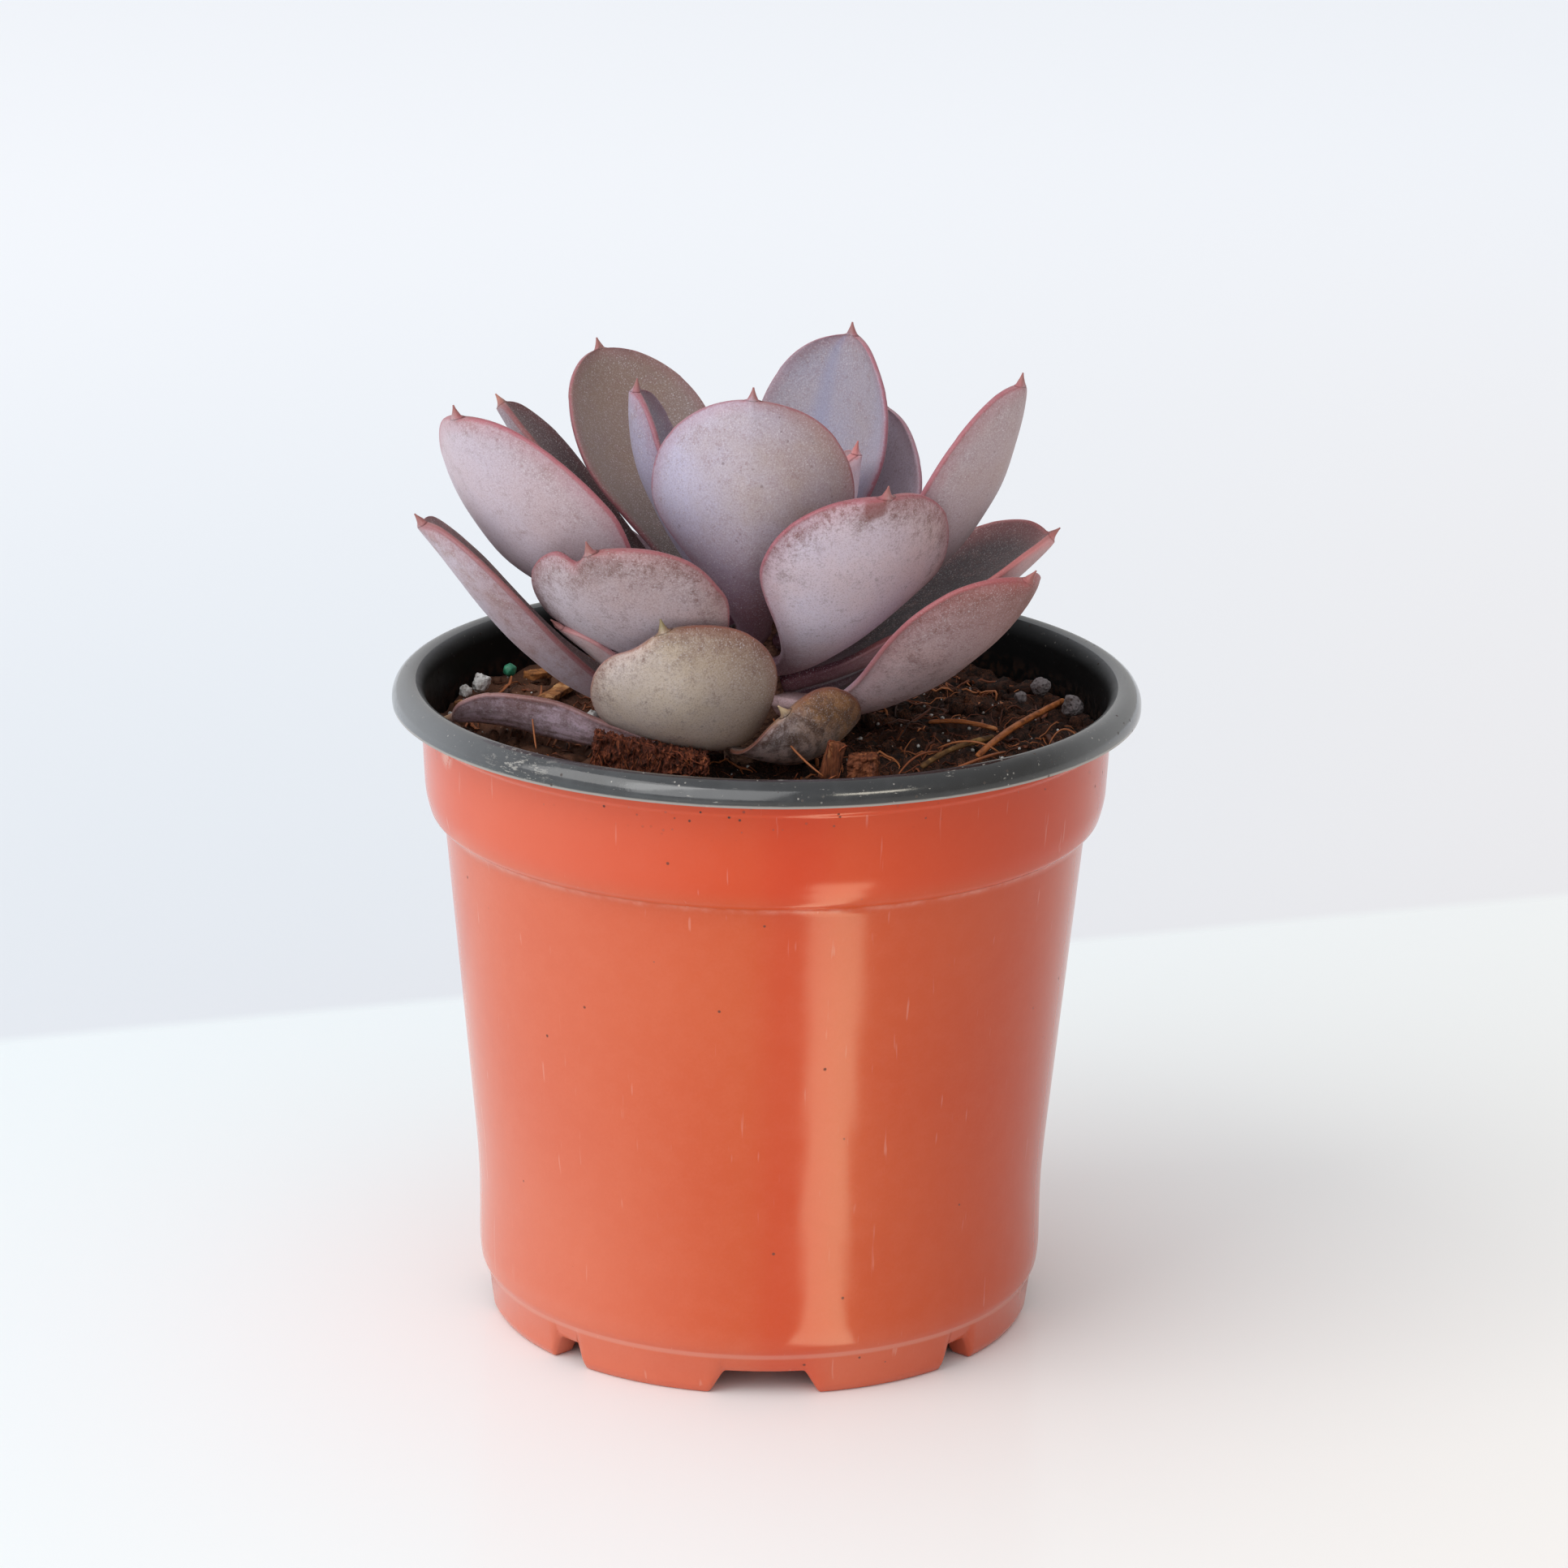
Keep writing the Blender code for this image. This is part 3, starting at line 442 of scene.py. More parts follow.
def leafHalfWidth(s, leaf, end, length):
    full, neck, widest = leaf["width"] / 2 * mm, leaf["neck"] / 2 * mm, leaf["widest"]
    x = s / end
    growing = neck + (full - neck) * smooth(0.0, 1.0, x / widest)
    past = np.clip((x - widest) / (1 - widest), 0.0, 1.0)
    closing = full * (1 - past ** leaf["blunt"]) ** 0.5
    left = np.clip((1 - s) * length / (leafGrid["spineLong"] + 1.2 * mm), 0.0, 1.0)
    spine = (0.12 + 1.5 * left ** 1.4) * mm
    blade = np.where(x < widest, growing, np.where(s > end, 0.0, closing))
    return np.where(s > end * 0.85, (blade ** 2.2 + spine ** 2.2) ** (1 / 2.2), blade)


def leafShell(leaf, seed):
    ribs, side = leafMidrib(leaf)
    fine = np.linspace(0.0, 1.0, leafGrid["curve"])
    curve, _ = bezier(ribs, fine)
    run = np.concatenate([[0.0], np.cumsum(np.linalg.norm(np.diff(curve, axis=0), axis=1))])
    length = run[-1]
    end = 1 - leafGrid["spineLong"] / length
    widest = leaf["widest"]
    low = np.linspace(0.0, widest, leafGrid["low"], endpoint=False)
    high = widest + (1 - widest) * np.sin(np.linspace(0.0, pi / 2, leafGrid["high"], endpoint=False))
    last = np.linspace(end - 0.001, 1.0, leafGrid["spine"])
    s = np.concatenate([low * end, high * end, last])
    middle, along = bezier(ribs, np.interp(s * length, run, fine))
    over = side - (along @ side)[:, None] * along
    over /= np.linalg.norm(over, axis=1)[:, None]
    up = np.cross(along, over)
    twist = radians(leaf["roll"]) * smooth(0.05, 0.6, s)[:, None]
    over, up = over * np.cos(twist) + up * np.sin(twist), up * np.cos(twist) - over * np.sin(twist)
    half = leafHalfWidth(s, leaf, end, length)
    body = leaf["thick"] * mm * (1 - 0.45 * smooth(0.55, 1.0, s)) * (1.15 - 0.15 * smooth(0.0, 0.3, s))
    body = np.minimum(body, half * 1.6)
    edge = np.minimum(leafGrid["edge"], half * 1.2)
    rounding = np.minimum(edge / 2, half * 0.6)
    flat = np.linspace(-1.0, 1.0, leafGrid["across"] + 1)
    bend = np.linspace(0.0, pi, leafGrid["rim"] + 2)[1:-1]
    # offsets across, then heights, for one ring after another
    u = np.sign(flat) * np.abs(flat) ** 0.85
    points, v, face = [], [], []
    for k in range(len(s)):
        h, r = half[k], rounding[k]
        inner = u * (h - r)
        vk = inner / h
        hollow = leaf["cup"] * h * smooth(0.0, 0.35, s[k])
        wave = leaf["wave"] * mm * noise.noise(Vector((s[k] * 7, seed, 0.3)))
        wave *= smooth(0.3, 0.7, s[k]) * min(h / (4 * mm), 1.0)
        top = hollow * vk ** 2 + edge[k] / 2 + wave * np.abs(vk) ** 3
        ridge = leaf["keel"] * mm * np.exp(-(vk / 0.07) ** 2) * smooth(0.1, 0.5, s[k])
        back = top - edge[k] - (body[k] - edge[k]) * (1 - np.abs(vk) ** 2.2) - ridge * min(h / (5 * mm), 1.0)
        rimMid = (top[-1] + back[-1]) / 2
        rimHalf = (top[-1] - back[-1]) / 2
        rightX, rightH = (h - r) + r * np.sin(bend), rimMid + rimHalf * np.cos(bend)
        x = np.concatenate([inner, rightX, inner[::-1], -rightX])
        z = np.concatenate([top, rightH, back[::-1], rightH[::-1]])
        ring = middle[k] + over[k] * x[:, None] + up[k] * z[:, None]
        for atX, wide, deep in leaf["dips"]:
            pull = deep * mm * np.exp(-((x / mm - atX) / (wide / 2)) ** 2) * smooth(0.76, 0.97, s[k])
            ring = ring - along[k] * pull[:, None]
        points.append(ring)
        v.append(x / h)
        n = len(inner)
        face.append(np.concatenate([np.ones(n), np.cos(bend), -np.ones(n), -np.cos(bend)]))
    around = len(points[0])
    # the root goes on into the stem a little
    points[0] = points[0] - along[0] * 0.9 * mm
    count = len(s)
    s = np.repeat(s, around)
    v = np.concatenate(v)
    # distance to the margin on the flattened blade
    marks = np.linspace(0, 1, leafGrid["margin"])
    margin = np.interp(marks, s[::around], half)
    lines = np.concatenate([np.stack([marks * length, sign * margin], axis=1) for sign in (-1, 1)])
    own = np.stack([s * length, v * np.repeat(half, around)], axis=1)
    rim = np.concatenate([
        np.sqrt(((part[:, None, :] - lines[None]) ** 2).sum(2)).min(1) for part in np.array_split(own, 12)])
    layers = {
        "along": s,
        "across": v,
        "face": np.concatenate(face),
        "rim": rim / mm,
        "toTip": (1 - s) * length / mm,
    }
    return np.concatenate(points), count, around, layers


def dented(points, depth, seed):
    # slow rise and fall of the blade, the same on both faces
    moved = []
    for p in points:
        spot = Vector(p) / mm * 0.13 + Vector((seed * 3.7, 0, 0))
        moved.append(p + np.array(noise.noise_vector(spot)) * depth * mm)
    return np.array(moved)


def leafPaint(name, look):
    paint = Paint(name, Specular_IOR_Level=0.3, Sheen_Weight=0.08, Sheen_Roughness=0.6)
    along, across, rim = paint.layer("along"), paint.layer("across"), paint.layer("rim")
    face, toTip = paint.layer("face"), paint.layer("toTip")
    big = paint.cloud(0.1, 2.0) - 0.5
    mid = paint.cloud(0.5, 2.0, 0.6) - 0.5
    fine = paint.cloud(2.6, 2.0, 0.7) - 0.5
    grain = paint.cloud(5.0, 1.0) - 0.5
    light, flesh, rimWide = look["light"], look["flesh"], look["rimWide"]

    coolness = (look["coolness"] + across * look["side"] + big * 1.5 + mid * 0.5).held()
    outer = paint.base(coolness, look["warm"], look["cool"], light)
    inner = paint.base(coolness, look["innerWarm"], look["inner"], light)
    paint.skin = paint.mix(face.step(-0.3, 0.3), outer, inner)
    rooted = (along + mid * 0.1).step(look["rootEnd"], look["rootEnd"] * 0.25)
    paint.coat(rooted * 0.8, look["root"])
    # the bloom is worn thin in soft patches, more towards the rim and the tip
    edgeWear = rim.step(6.0, 0.4) * along.step(0.4, 0.8) * look["crumbs"]
    patches = look["worn"] - big * 0.5 + mid * 1.3 * look["mottle"] + fine * 0.8
    worn = (patches + edgeWear * 0.5 - 0.08).step(0.05, 0.9)
    paint.coat(worn * 0.7, flesh, light)
    paint.coat((mid * 0.9 + fine * 1.6).held() * 0.4, flesh, light)
    if look["veins"]:
        blade = paint.node("ShaderNodeCombineXYZ", {}, {0: across * 4.0, 1: along * 2.5, 2: mid * 1.5})
        vein = paint.node("ShaderNodeTexNoise", {}, {"Vector": blade, "Scale": 1.6, "Detail": 2.0})
        paint.coat(vein.step(0.48, 0.62) * look["veins"], flesh, light)
    amount, way, sideAmount = look["ruddy"]
    ruddy = along.step(0.4, 1.0) * amount + (across * way).held() * sideAmount + big * 0.9 * amount
    paint.coat(ruddy.held(), flesh, light)
    # brown crumbs along the rim, and small freckles
    crust = (edgeWear * (paint.cloud(1.1, 3.0, 0.75) - 0.5) * 8).held()
    paint.coat(crust * 0.6, leafTones["crust"])
    dots = paint.specks(0.62, (0.17, 0.08), 0.2, (0.46, 0.62)) * look["dots"]
    paint.coat(dots * 0.8, leafTones["dots"])
    # pale grains of meal, thickest near the margin
    meal = grain.step(0.12, 0.26) * (mid * 2.4 + fine + 0.25 + rim.step(7.0, 1.0) * 0.5).held() * 0.5
    paint.coat(meal, leafTones["meal"])
    paint.coat((grain * 1.1).held(), leafTones["grain"])
    paint.coat((grain * -1.3).held(), flesh, light)
    for *spot, reach in look["marks"]:
        mark = (paint.near(spot, reach) + mid * 0.9 - 0.15).step(0.15, 0.6)
        paint.coat(mark * 0.75 * paint.near(spot, reach * 1.2), leafTones["mark"])
    # reddish rim, soft to the inside
    outerRim = along.step(0.15, 0.45)
    paint.coat((rim + mid * 1.2).step(rimWide * 3.0, 0.2) * outerRim * 0.25, look["rim"])
    band = (rim + mid * 0.4 + fine * 0.4).step(rimWide * 0.5, 0.0) * outerRim
    paint.coat(band * 0.7, look["rim"])
    # a pale streak along a fold: painted highlight in place of the fold's shape
    if look["fold"]:
        fold = (across - look["fold"]).math("ABSOLUTE").step(0.2, 0.0) * along.step(0.15, 0.35)
        paint.coat(fold * 0.4, leafTones["fold"])
    paint.coat(toTip.step(2.4, 0.5) * 0.8, look["tip"])
    return paint.finish(0.6 - worn * 0.12 - band * 0.14 + mid * 0.1, mid * 0.45 + fine * 0.25, 0.3, 0.5)


for seed, (name, values) in enumerate(leaves.items()):
    leaf = {**leafUsual, **values}
    look = {**lookUsual, **values.get("look", {})}
    points, rings, around, layers = leafShell(leaf, seed + 0.5)
    points = dented(points, leaf["dent"], seed)
    addPiece(name + "_blade", points, ringFaces(rings, around), [leafPaint(name + "_skin", look)],
             name, layers=layers)
print("leaves:", len(leaves))


# Pot: radii and heights in millimetres
pot = {
    "rimR": 50.0, "rimTop": 88.2, "rimEdge": 84.9, "rimWide": 4.5, "rimTall": 2.6, "sheet": 0.8,
    "ledge": 82.7, "collarTopR": 46.4, "collarMid": 78.0, "collarLowR": 45.55, "collarLow": 72.4,
    "crease": 69.5,
    "bodyTopR": 43.0, "bodyLow": 24.0, "bodyLowR": 38.75, "baseTop": 18.0, "baseR": 38.35, "baseRound": 9.0,
    "footTop": 5.8, "footR": 37.4, "footFlatR": 36.3, "footInR": 33.5, "floor": 4.6,
    "archHigh": 3.2, "archTurn": 1.5, "archCount": 8, "wideArch": (8.5, 11.5), "narrowArch": (2.8, 4.6),
    "holeR": 3.5, "sideHoles": 6, "sideHoleR": 2.8, "sideHoleRing": 20.0, "sideHoleTurn": 15.0,
    "headings": 300, "longest": 6.0, "rimSteps": 32, "innerRim": 11, "underSteps": 20,
}


def archSides():
    sides = []
    for k in range(pot["archCount"]):
        topHalf, floorHalf = pot["wideArch"] if k % 2 == 0 else pot["narrowArch"]
        sides.append((pot["archTurn"] + 360.0 * k / pot["archCount"], topHalf, floorHalf))
    return sides


def archLift(turn):
    for centre, topHalf, floorHalf in archSides():
        off = abs((turn - centre + 180) % 360 - 180)
        if off < floorHalf:
            return pot["archHigh"] * min((floorHalf - off) / (floorHalf - topHalf), 1.0)
    return 0.0


def softLift(turn):
    return sum(archLift(turn + d) for d in (-0.4, -0.2, 0.0, 0.2, 0.4)) / 5


def potHeadings():
    near = []
    for centre, topHalf, floorHalf in archSides():
        for corner in (-floorHalf, -topHalf, topHalf, floorHalf):
            near += [centre + corner + d for d in (-0.6, -0.3, 0.0, 0.3, 0.6)]
    step = 360.0 / pot["headings"]
    plain = [step * k for k in range(pot["headings"])]
    clear = [t for t in plain if min(abs((t - c + 180) % 360 - 180) for c in near) > 0.35 * step]
    return sorted(t % 360 for t in near + clear)


def softened(corners):
    # corners (r, z, radius of the bend) to a smooth line
    line = []
    for k, (r, z, bend) in enumerate(corners):
        here = np.array([r, z])
        if k in (0, len(corners) - 1) or bend == 0:
            line.append(here)
            continue
        before, after = (np.array(corners[k + d][:2]) - here for d in (-1, 1))
        reach = min(bend, 0.45 * np.linalg.norm(before), 0.45 * np.linalg.norm(after))
        first = here + before / np.linalg.norm(before) * reach
        last = here + after / np.linalg.norm(after) * reach
        for t in (0.0, 0.25, 0.5, 0.75, 1.0):
            line.append(first * (1 - t) ** 2 + 2 * here * t * (1 - t) + last * t * t)
    return line


def arc(centreR, centreZ, wide, tall, first, last, steps):
    turns = np.radians(np.linspace(first, last, steps + 1))
    return [np.array([centreR + wide * cos(t), centreZ + tall * sin(t)]) for t in turns]


def split(line, most):
    # long straight runs cut up, so that the shape can follow small marks
    full = [line[0]]
    for a, b in zip(line[:-1], line[1:]):
        parts = max(1, int(np.ceil(np.linalg.norm(b - a) / most)))
        full += [a + (b - a) * k / parts for k in range(1, parts + 1)]
    return full


def innerWall():
    p = pot
    wallR = p["rimR"] - p["rimWide"]
    return [
        (p["baseR"] - p["sheet"], p["baseTop"]), (p["bodyLowR"] - p["sheet"], p["bodyLow"]),
        (p["bodyTopR"] - p["sheet"], p["crease"] - p["sheet"]),
        (p["bodyTopR"] - 0.3, p["crease"] + 0.6 * p["sheet"]),
        (p["collarLowR"] - 1.8 * p["sheet"], p["crease"] + 1.8 * p["sheet"]),
        (p["collarLowR"] - p["sheet"], p["collarLow"] + 0.3 * p["sheet"]),
        (wallR - 0.5, p["collarMid"]),
    ]


def potSection():
    p = pot
    foot = [
        (p["footR"] + 0.1, p["footTop"] - 0.1, 0), (p["footR"] - 0.45, 1.0, 0.8), (p["footFlatR"], 0.0, 0.3),
        (p["footInR"], 0.0, 0.3), (p["footInR"] - 0.5, 0.7, 0.3), (p["footInR"] - 0.5, p["floor"] - 0.4, 0.4),
        (p["footInR"] - 1.0, p["floor"], 0.4), (p["holeR"], p["floor"], 0),
    ]
    inside = [
        (p["holeR"], p["floor"] + p["sheet"], 0), (p["footInR"] - 0.3, p["floor"] + p["sheet"], 0),
        (p["footInR"] + 0.4, p["floor"] + 0.2, 0.3), (p["footInR"] + 0.5, 1.2, 0.3),
        (p["footInR"] + 0.9, p["sheet"], 0.3), (p["footFlatR"] - 0.7, p["sheet"], 0.3),
        (p["footFlatR"] - 0.2, 1.3, 0.3), (p["footR"] - p["sheet"], p["footTop"] - 0.6, 0.4),
        (p["footR"] - 0.5 * p["sheet"], p["footTop"] + 0.5, 0.3),
        (p["baseR"] - p["sheet"], p["baseRound"] - 1.5, 0.8),
    ] + [(r, z, 0.8) for r, z in innerWall()]
    mid = p["rimR"] - p["rimWide"] / 2
    low = p["rimTop"] - p["rimTall"]
    over = arc(mid, low, p["rimWide"] / 2, p["rimTall"], 180, -12, p["rimSteps"])
    under = arc(mid, low, p["rimWide"] / 2 - p["sheet"], p["rimTall"] - p["sheet"], -6, 180, p["underSteps"])
    outside = [
        (p["collarTopR"], p["rimEdge"] - 0.6, 0.6), (p["collarTopR"] - 0.05, p["ledge"] + 0.35, 0.2),
        (p["collarTopR"] - 0.35, p["ledge"], 0.2), (p["collarLowR"] + 0.3, p["collarMid"], 3.0),
        (p["collarLowR"] + 0.02, p["collarLow"] + 0.6, 1.6),
        (p["collarLowR"] - 0.75, p["crease"] + 0.75, 1.2),
        (p["bodyTopR"] + 0.35, p["crease"] - 0.05, 0.35), (p["bodyTopR"], p["crease"] - 0.9, 0.6),
        (p["bodyLowR"], p["bodyLow"], 4.0), (p["baseR"], p["baseTop"], 4.0),
        (p["baseR"], p["baseRound"], 4.0),
        (p["baseR"] - 0.25, p["footTop"] + 1.0, 1.0), (p["footR"] + 0.1, p["footTop"] - 0.1, 0),
    ]
    footLine = softened(foot)
    insideLine = softened(inside + [(over[0][0], over[0][1], 0)])[:-1]
    outsideLine = softened([(under[-1][0], under[-1][1], 0)] + outside)[1:-1]
    return footLine, insideLine, over, under, split(outsideLine, p["longest"])


def footShare(z):
    fullBelow, noneAbove = 1.3, pot["floor"] - 0.6
    return min(max((noneAbove - z) / (noneAbove - fullBelow), 0.0), 1.0)


def potPaint():
    paint = Paint("pot_terracotta_skin", Specular_IOR_Level=0.4)
    x, _, z = paint.axes()
    big = paint.cloud(0.035, 2.0) - 0.5
    mid = paint.cloud(0.35, 3.0, 0.6) - 0.5
    fine = paint.cloud(2.6, 2.0, 0.6) - 0.5
    paint.base((big * 1.6 + 0.5).held(), (207, 77, 30), (212, 91, 46))
    paint.coat((mid * 0.4 + fine * 0.3 + 0.06).held(), (224, 112, 78))
    paint.coat(z.step(69.5, 73.0) * 0.6, (219, 66, 14))
    # paler to the left and at the foot, a painted reflection of the bright room and table, with a deeper
    # strip down the front; deeper to the right, painted shade
    leftSheen = z.step(50.0, 8.0) * 0.14 + z.step(5.0, 9.0) * 0.2 + 0.02
    paint.coat(x.step(4.0, -38.0) * leftSheen + z.step(11.0, 4.0) * 0.2, (232, 156, 134))
    paint.coat(x.step(-3.0, 3.0) * x.step(11.0, 6.0) * 0.3, (210, 46, 6))
    paint.coat(x.step(8.0, 38.0) * 0.45, (164, 44, 10))
    # soil splashed under the rim, in drifts, and a few specks lower down
    specks = paint.specks(0.75, (0.17, 0.1), 0.12, (0.42, 0.64), 2.0) * z.step(79.0, 82.5)
    crumbs = paint.specks(0.28, (0.07, 0.045), 0.07, (0.5, 0.6))
    soiled = specks.most(crumbs * 0.8)
    paint.coat(soiled, (74, 44, 34))
    # pale dust in the two creases, fine pale scratches, and a pale spot on the collar's left, a painted
    # highlight where a small moulded bump would catch the light
    dust = z.step(68.6, 69.3) * z.step(70.0, 69.5) * mid.step(-0.2, 0.4) * 0.4
    dust = dust.most(z.step(5.2, 5.6) * z.step(6.3, 5.9) * 0.3)
    scratch = paint.cloud((0.9, 0.9, 0.06), 2.0, 0.7).step(0.68, 0.76) * 0.25
    bumpGlint = paint.near((-42.0, -19.5, 82.6), 2.6) * paint.cloud(0.9, 2.0).step(0.36, 0.5)
    pale = dust.most(scratch).most(bumpGlint * 0.8)
    paint.coat(pale * 0.75, (236, 196, 180))
    rough = (0.17 + mid * 0.08 + pale * 0.3 + soiled * 0.5).held()
    return paint.finish(rough, fine * 0.12 + mid * 0.25, 0.1, 0.3)


def blackPaint(name, gloss, rough, tone):
    paint = Paint(name, Specular_IOR_Level=gloss)
    x, y, z = paint.axes()
    mid = paint.cloud(0.3, 3.0, 0.6) - 0.5
    fine = paint.cloud(2.2, 3.0, 0.7) - 0.5
    onRim = z.step(84.0, 85.5)
    front = y.step(-10.0, -44.0)
    paint.base(onRim, (9, 9, 9), tone)
    across = x * x + y * y
    outer = across.step(2080.0, 2230.0) * onRim
    # the rim's outer face is paler to the left and at the far right: dust with a painted sheen
    dustAndSheen = (mid * 1.4 + x.step(12.0, -44.0) + x.step(28.0, 48.0) * 0.6).held() * outer
    paint.coat(dustAndSheen * 0.4, (84, 86, 88))
    # paler still at the far left and far right sides: a painted reflection of the bright room at a grazing
    # angle
    sides = (x.step(-30.0, -49.0) + x.step(34.0, 49.0)) * outer
    paint.coat(sides * 0.6, (128, 130, 132))
    chips = paint.specks(0.8, (0.15, 0.06), 0.14, (0.48, 0.62), 2.0)
    scratch = paint.cloud((0.35, 1.4, 2.4), 3.0, 0.75).step(0.64, 0.74)
    # a patch of pale streaks on the rim's front left is a painted highlight, where the window shows in the
    # glossy lip
    glintPatch = paint.near((-31.0, -37.5, 85.6), 7.5) * 0.6
    glintPatch = glintPatch * paint.cloud((0.7, 0.7, 2.6), 3.0, 0.8).step(0.53, 0.63)
    hair = paint.cloud((1.6, 0.4, 0.5), 4.0, 0.75).step(0.68, 0.72)
    # the pale marks: chips, scratches and hairs, which are wear, with the painted highlight patch
    marks = (chips.most(scratch * 0.6).most(hair * 0.7).most(glintPatch) * (front * 0.75 + 0.25) * onRim).held()
    paint.coat(marks * 0.8, (196, 190, 180))
    # the cut edge at the foot of the rolled rim shows as a pale line
    line = (z + mid * 0.15).step(85.5, 85.25) * across.step(2380.0, 2440.0)
    paint.coat(line * 0.8, (168, 160, 152))
    soiled = paint.specks(0.55, (0.13, 0.08), 0.1, (0.48, 0.6))
    soiled = soiled.most(z.step(83.6, 81.4) * paint.cloud(0.9, 3.0, 0.7).step(0.46, 0.58))
    paint.coat(soiled, (46, 30, 22))
    rough = (rough + mid * 0.3 + marks * 0.3 + soiled * 0.5).held()
    return paint.finish(rough, fine * 0.2 + mid * 0.35, 0.1, 0.35)


def edgePaint():
    paint = Paint("pot_cut_edge_skin", Specular_IOR_Level=0.4)
    worn = paint.cloud(0.6, 3.0, 0.7)
    paint.base(worn.step(0.35, 0.65), (96, 96, 96), (178, 172, 166))
    return paint.finish(0.45 + worn * 0.2, worn, 0.1, 0.4)


def buildPot():
    foot, inside, over, under, outside = potSection()
    section = foot + inside + over + under + outside
    count = len(section)
    black = (len(foot), len(foot) + len(inside) + len(over) - 1)
    headings = potHeadings()
    shares = [footShare(z) for _, z in section]
    points = []
    for turn in headings:
        lift = softLift(turn)
        away = radians(turn)
        for (r, z), share in zip(section, shares):
            points.append((r * sin(away), -r * cos(away), z + lift * share))
    i, j = np.meshgrid(np.arange(len(headings)), np.arange(count), indexing="ij")
    nextI, nextJ = (i + 1) % len(headings), (j + 1) % count
    faces = np.stack([nextI * count + j, nextI * count + nextJ, i * count + nextJ, i * count + j], axis=-1)
    dark = (j >= black[0]) & (j < black[1])
    within = dark & (j < len(foot) + len(inside) + pot["innerRim"])
    kinds = np.where(within, 3, np.where(dark, 1, np.where(j == black[1], 2, 0))).reshape(-1)
    rimBlack = blackPaint("pot_rim_skin", 0.85, 0.13, (15, 16, 17))
    insideBlack = blackPaint("pot_inside_skin", 0.12, 0.5, (10, 10, 10))
    piece = addPiece("pot_shell", np.array(points) * mm, faces.reshape(-1, 4).tolist(),
                     [potPaint(), rimBlack, edgePaint(), insideBlack], "pot",
                     kinds=kinds, sharp=50)
    drills = []
    for k in range(pot["sideHoles"]):
        turn = radians(360.0 * k / pot["sideHoles"] + pot["sideHoleTurn"])
        shape = bmesh.new()
        bmesh.ops.create_cone(shape, cap_ends=True, segments=48, depth=4 * mm,
                              radius1=pot["sideHoleR"] * mm, radius2=pot["sideHoleR"] * mm)
        bmesh.ops.translate(shape, verts=shape.verts, vec=Vector(
            (pot["sideHoleRing"] * sin(turn), -pot["sideHoleRing"] * cos(turn), pot["floor"] + 0.4)) * mm)
        mesh = bpy.data.meshes.new(f"drill{k}")
        shape.to_mesh(mesh)
        shape.free()
        drill = put(f"drill{k}", mesh)
        cut = piece.modifiers.new(f"drain{k}", "BOOLEAN")
        cut.operation = "DIFFERENCE"
        cut.solver = "EXACT"
        cut.object = drill
        drills.append(drill)
    # the holes are cut for good, and the drills go
    seen = bpy.context.evaluated_depsgraph_get()
    mesh = bpy.data.meshes.new_from_object(piece.evaluated_get(seen))
    piece.modifiers.clear()
    piece.data = mesh
    for drill in drills:
        bpy.data.objects.remove(drill)


buildPot()
print("pot done")


def tube(path, radius, sides, taper=0.35, flat=1.0):
    path = [Vector(p) for p in path]
    points = []
    count = len(path)
    for k, p in enumerate(path):
        way = (path[min(k + 1, count - 1)] - path[max(k - 1, 0)]).normalized()
        across = way.cross(Vector((0, 0, 1)))
        across = across.normalized() if across.length > 0.05 else Vector((1, 0, 0))
        above = across.cross(way)
        t = k / (count - 1)
        r = radius * (1 - (1 - taper) * abs(2 * t - 1) ** 3)
        for n in range(sides):
            a = 2 * pi * n / sides
            points.append(p + across * r * cos(a) + above * r * flat * sin(a))
    return points, ringFaces(count, sides)


strand = {"long": 3.2, "steps": 6, "over": 0.07, "thin": 0.05, "thick": 0.13, "sides": 5, "taper": 0.5}


def strandsOver(shape, count, seed):
    # strands that follow the surface of a piece, in metres
    draw = random.Random(seed)
    skin = BVHTree.FromBMesh(shape)
    spots = [v.co.copy() for v in shape.verts]
    points, faces = [], []
    for _ in range(count):
        spot = draw.choice(spots)
        way = Vector((draw.uniform(-0.5, 0.5), draw.uniform(-0.5, 0.5), draw.choice((-1.0, 1.0, 1.0, 0.3))))
        path = []
        for _ in range(strand["steps"]):
            on, normal, _, _ = skin.find_nearest(spot)
            path.append(on + normal * strand["over"] * mm)
            way += Vector(draw.uniform(-0.25, 0.25) for _ in range(3))
            way = (way - normal * way.dot(normal)).normalized()
            spot = on + way * draw.uniform(0.5, 1.0) * strand["long"] * mm / (strand["steps"] - 1)
        radius = draw.uniform(strand["thin"], strand["thick"]) * mm
        newPoints, newFaces = tube(path, radius, strand["sides"], strand["taper"])
        faces += [tuple(len(points) + k for k in f) for f in newFaces]
        points += newPoints
    return points, faces


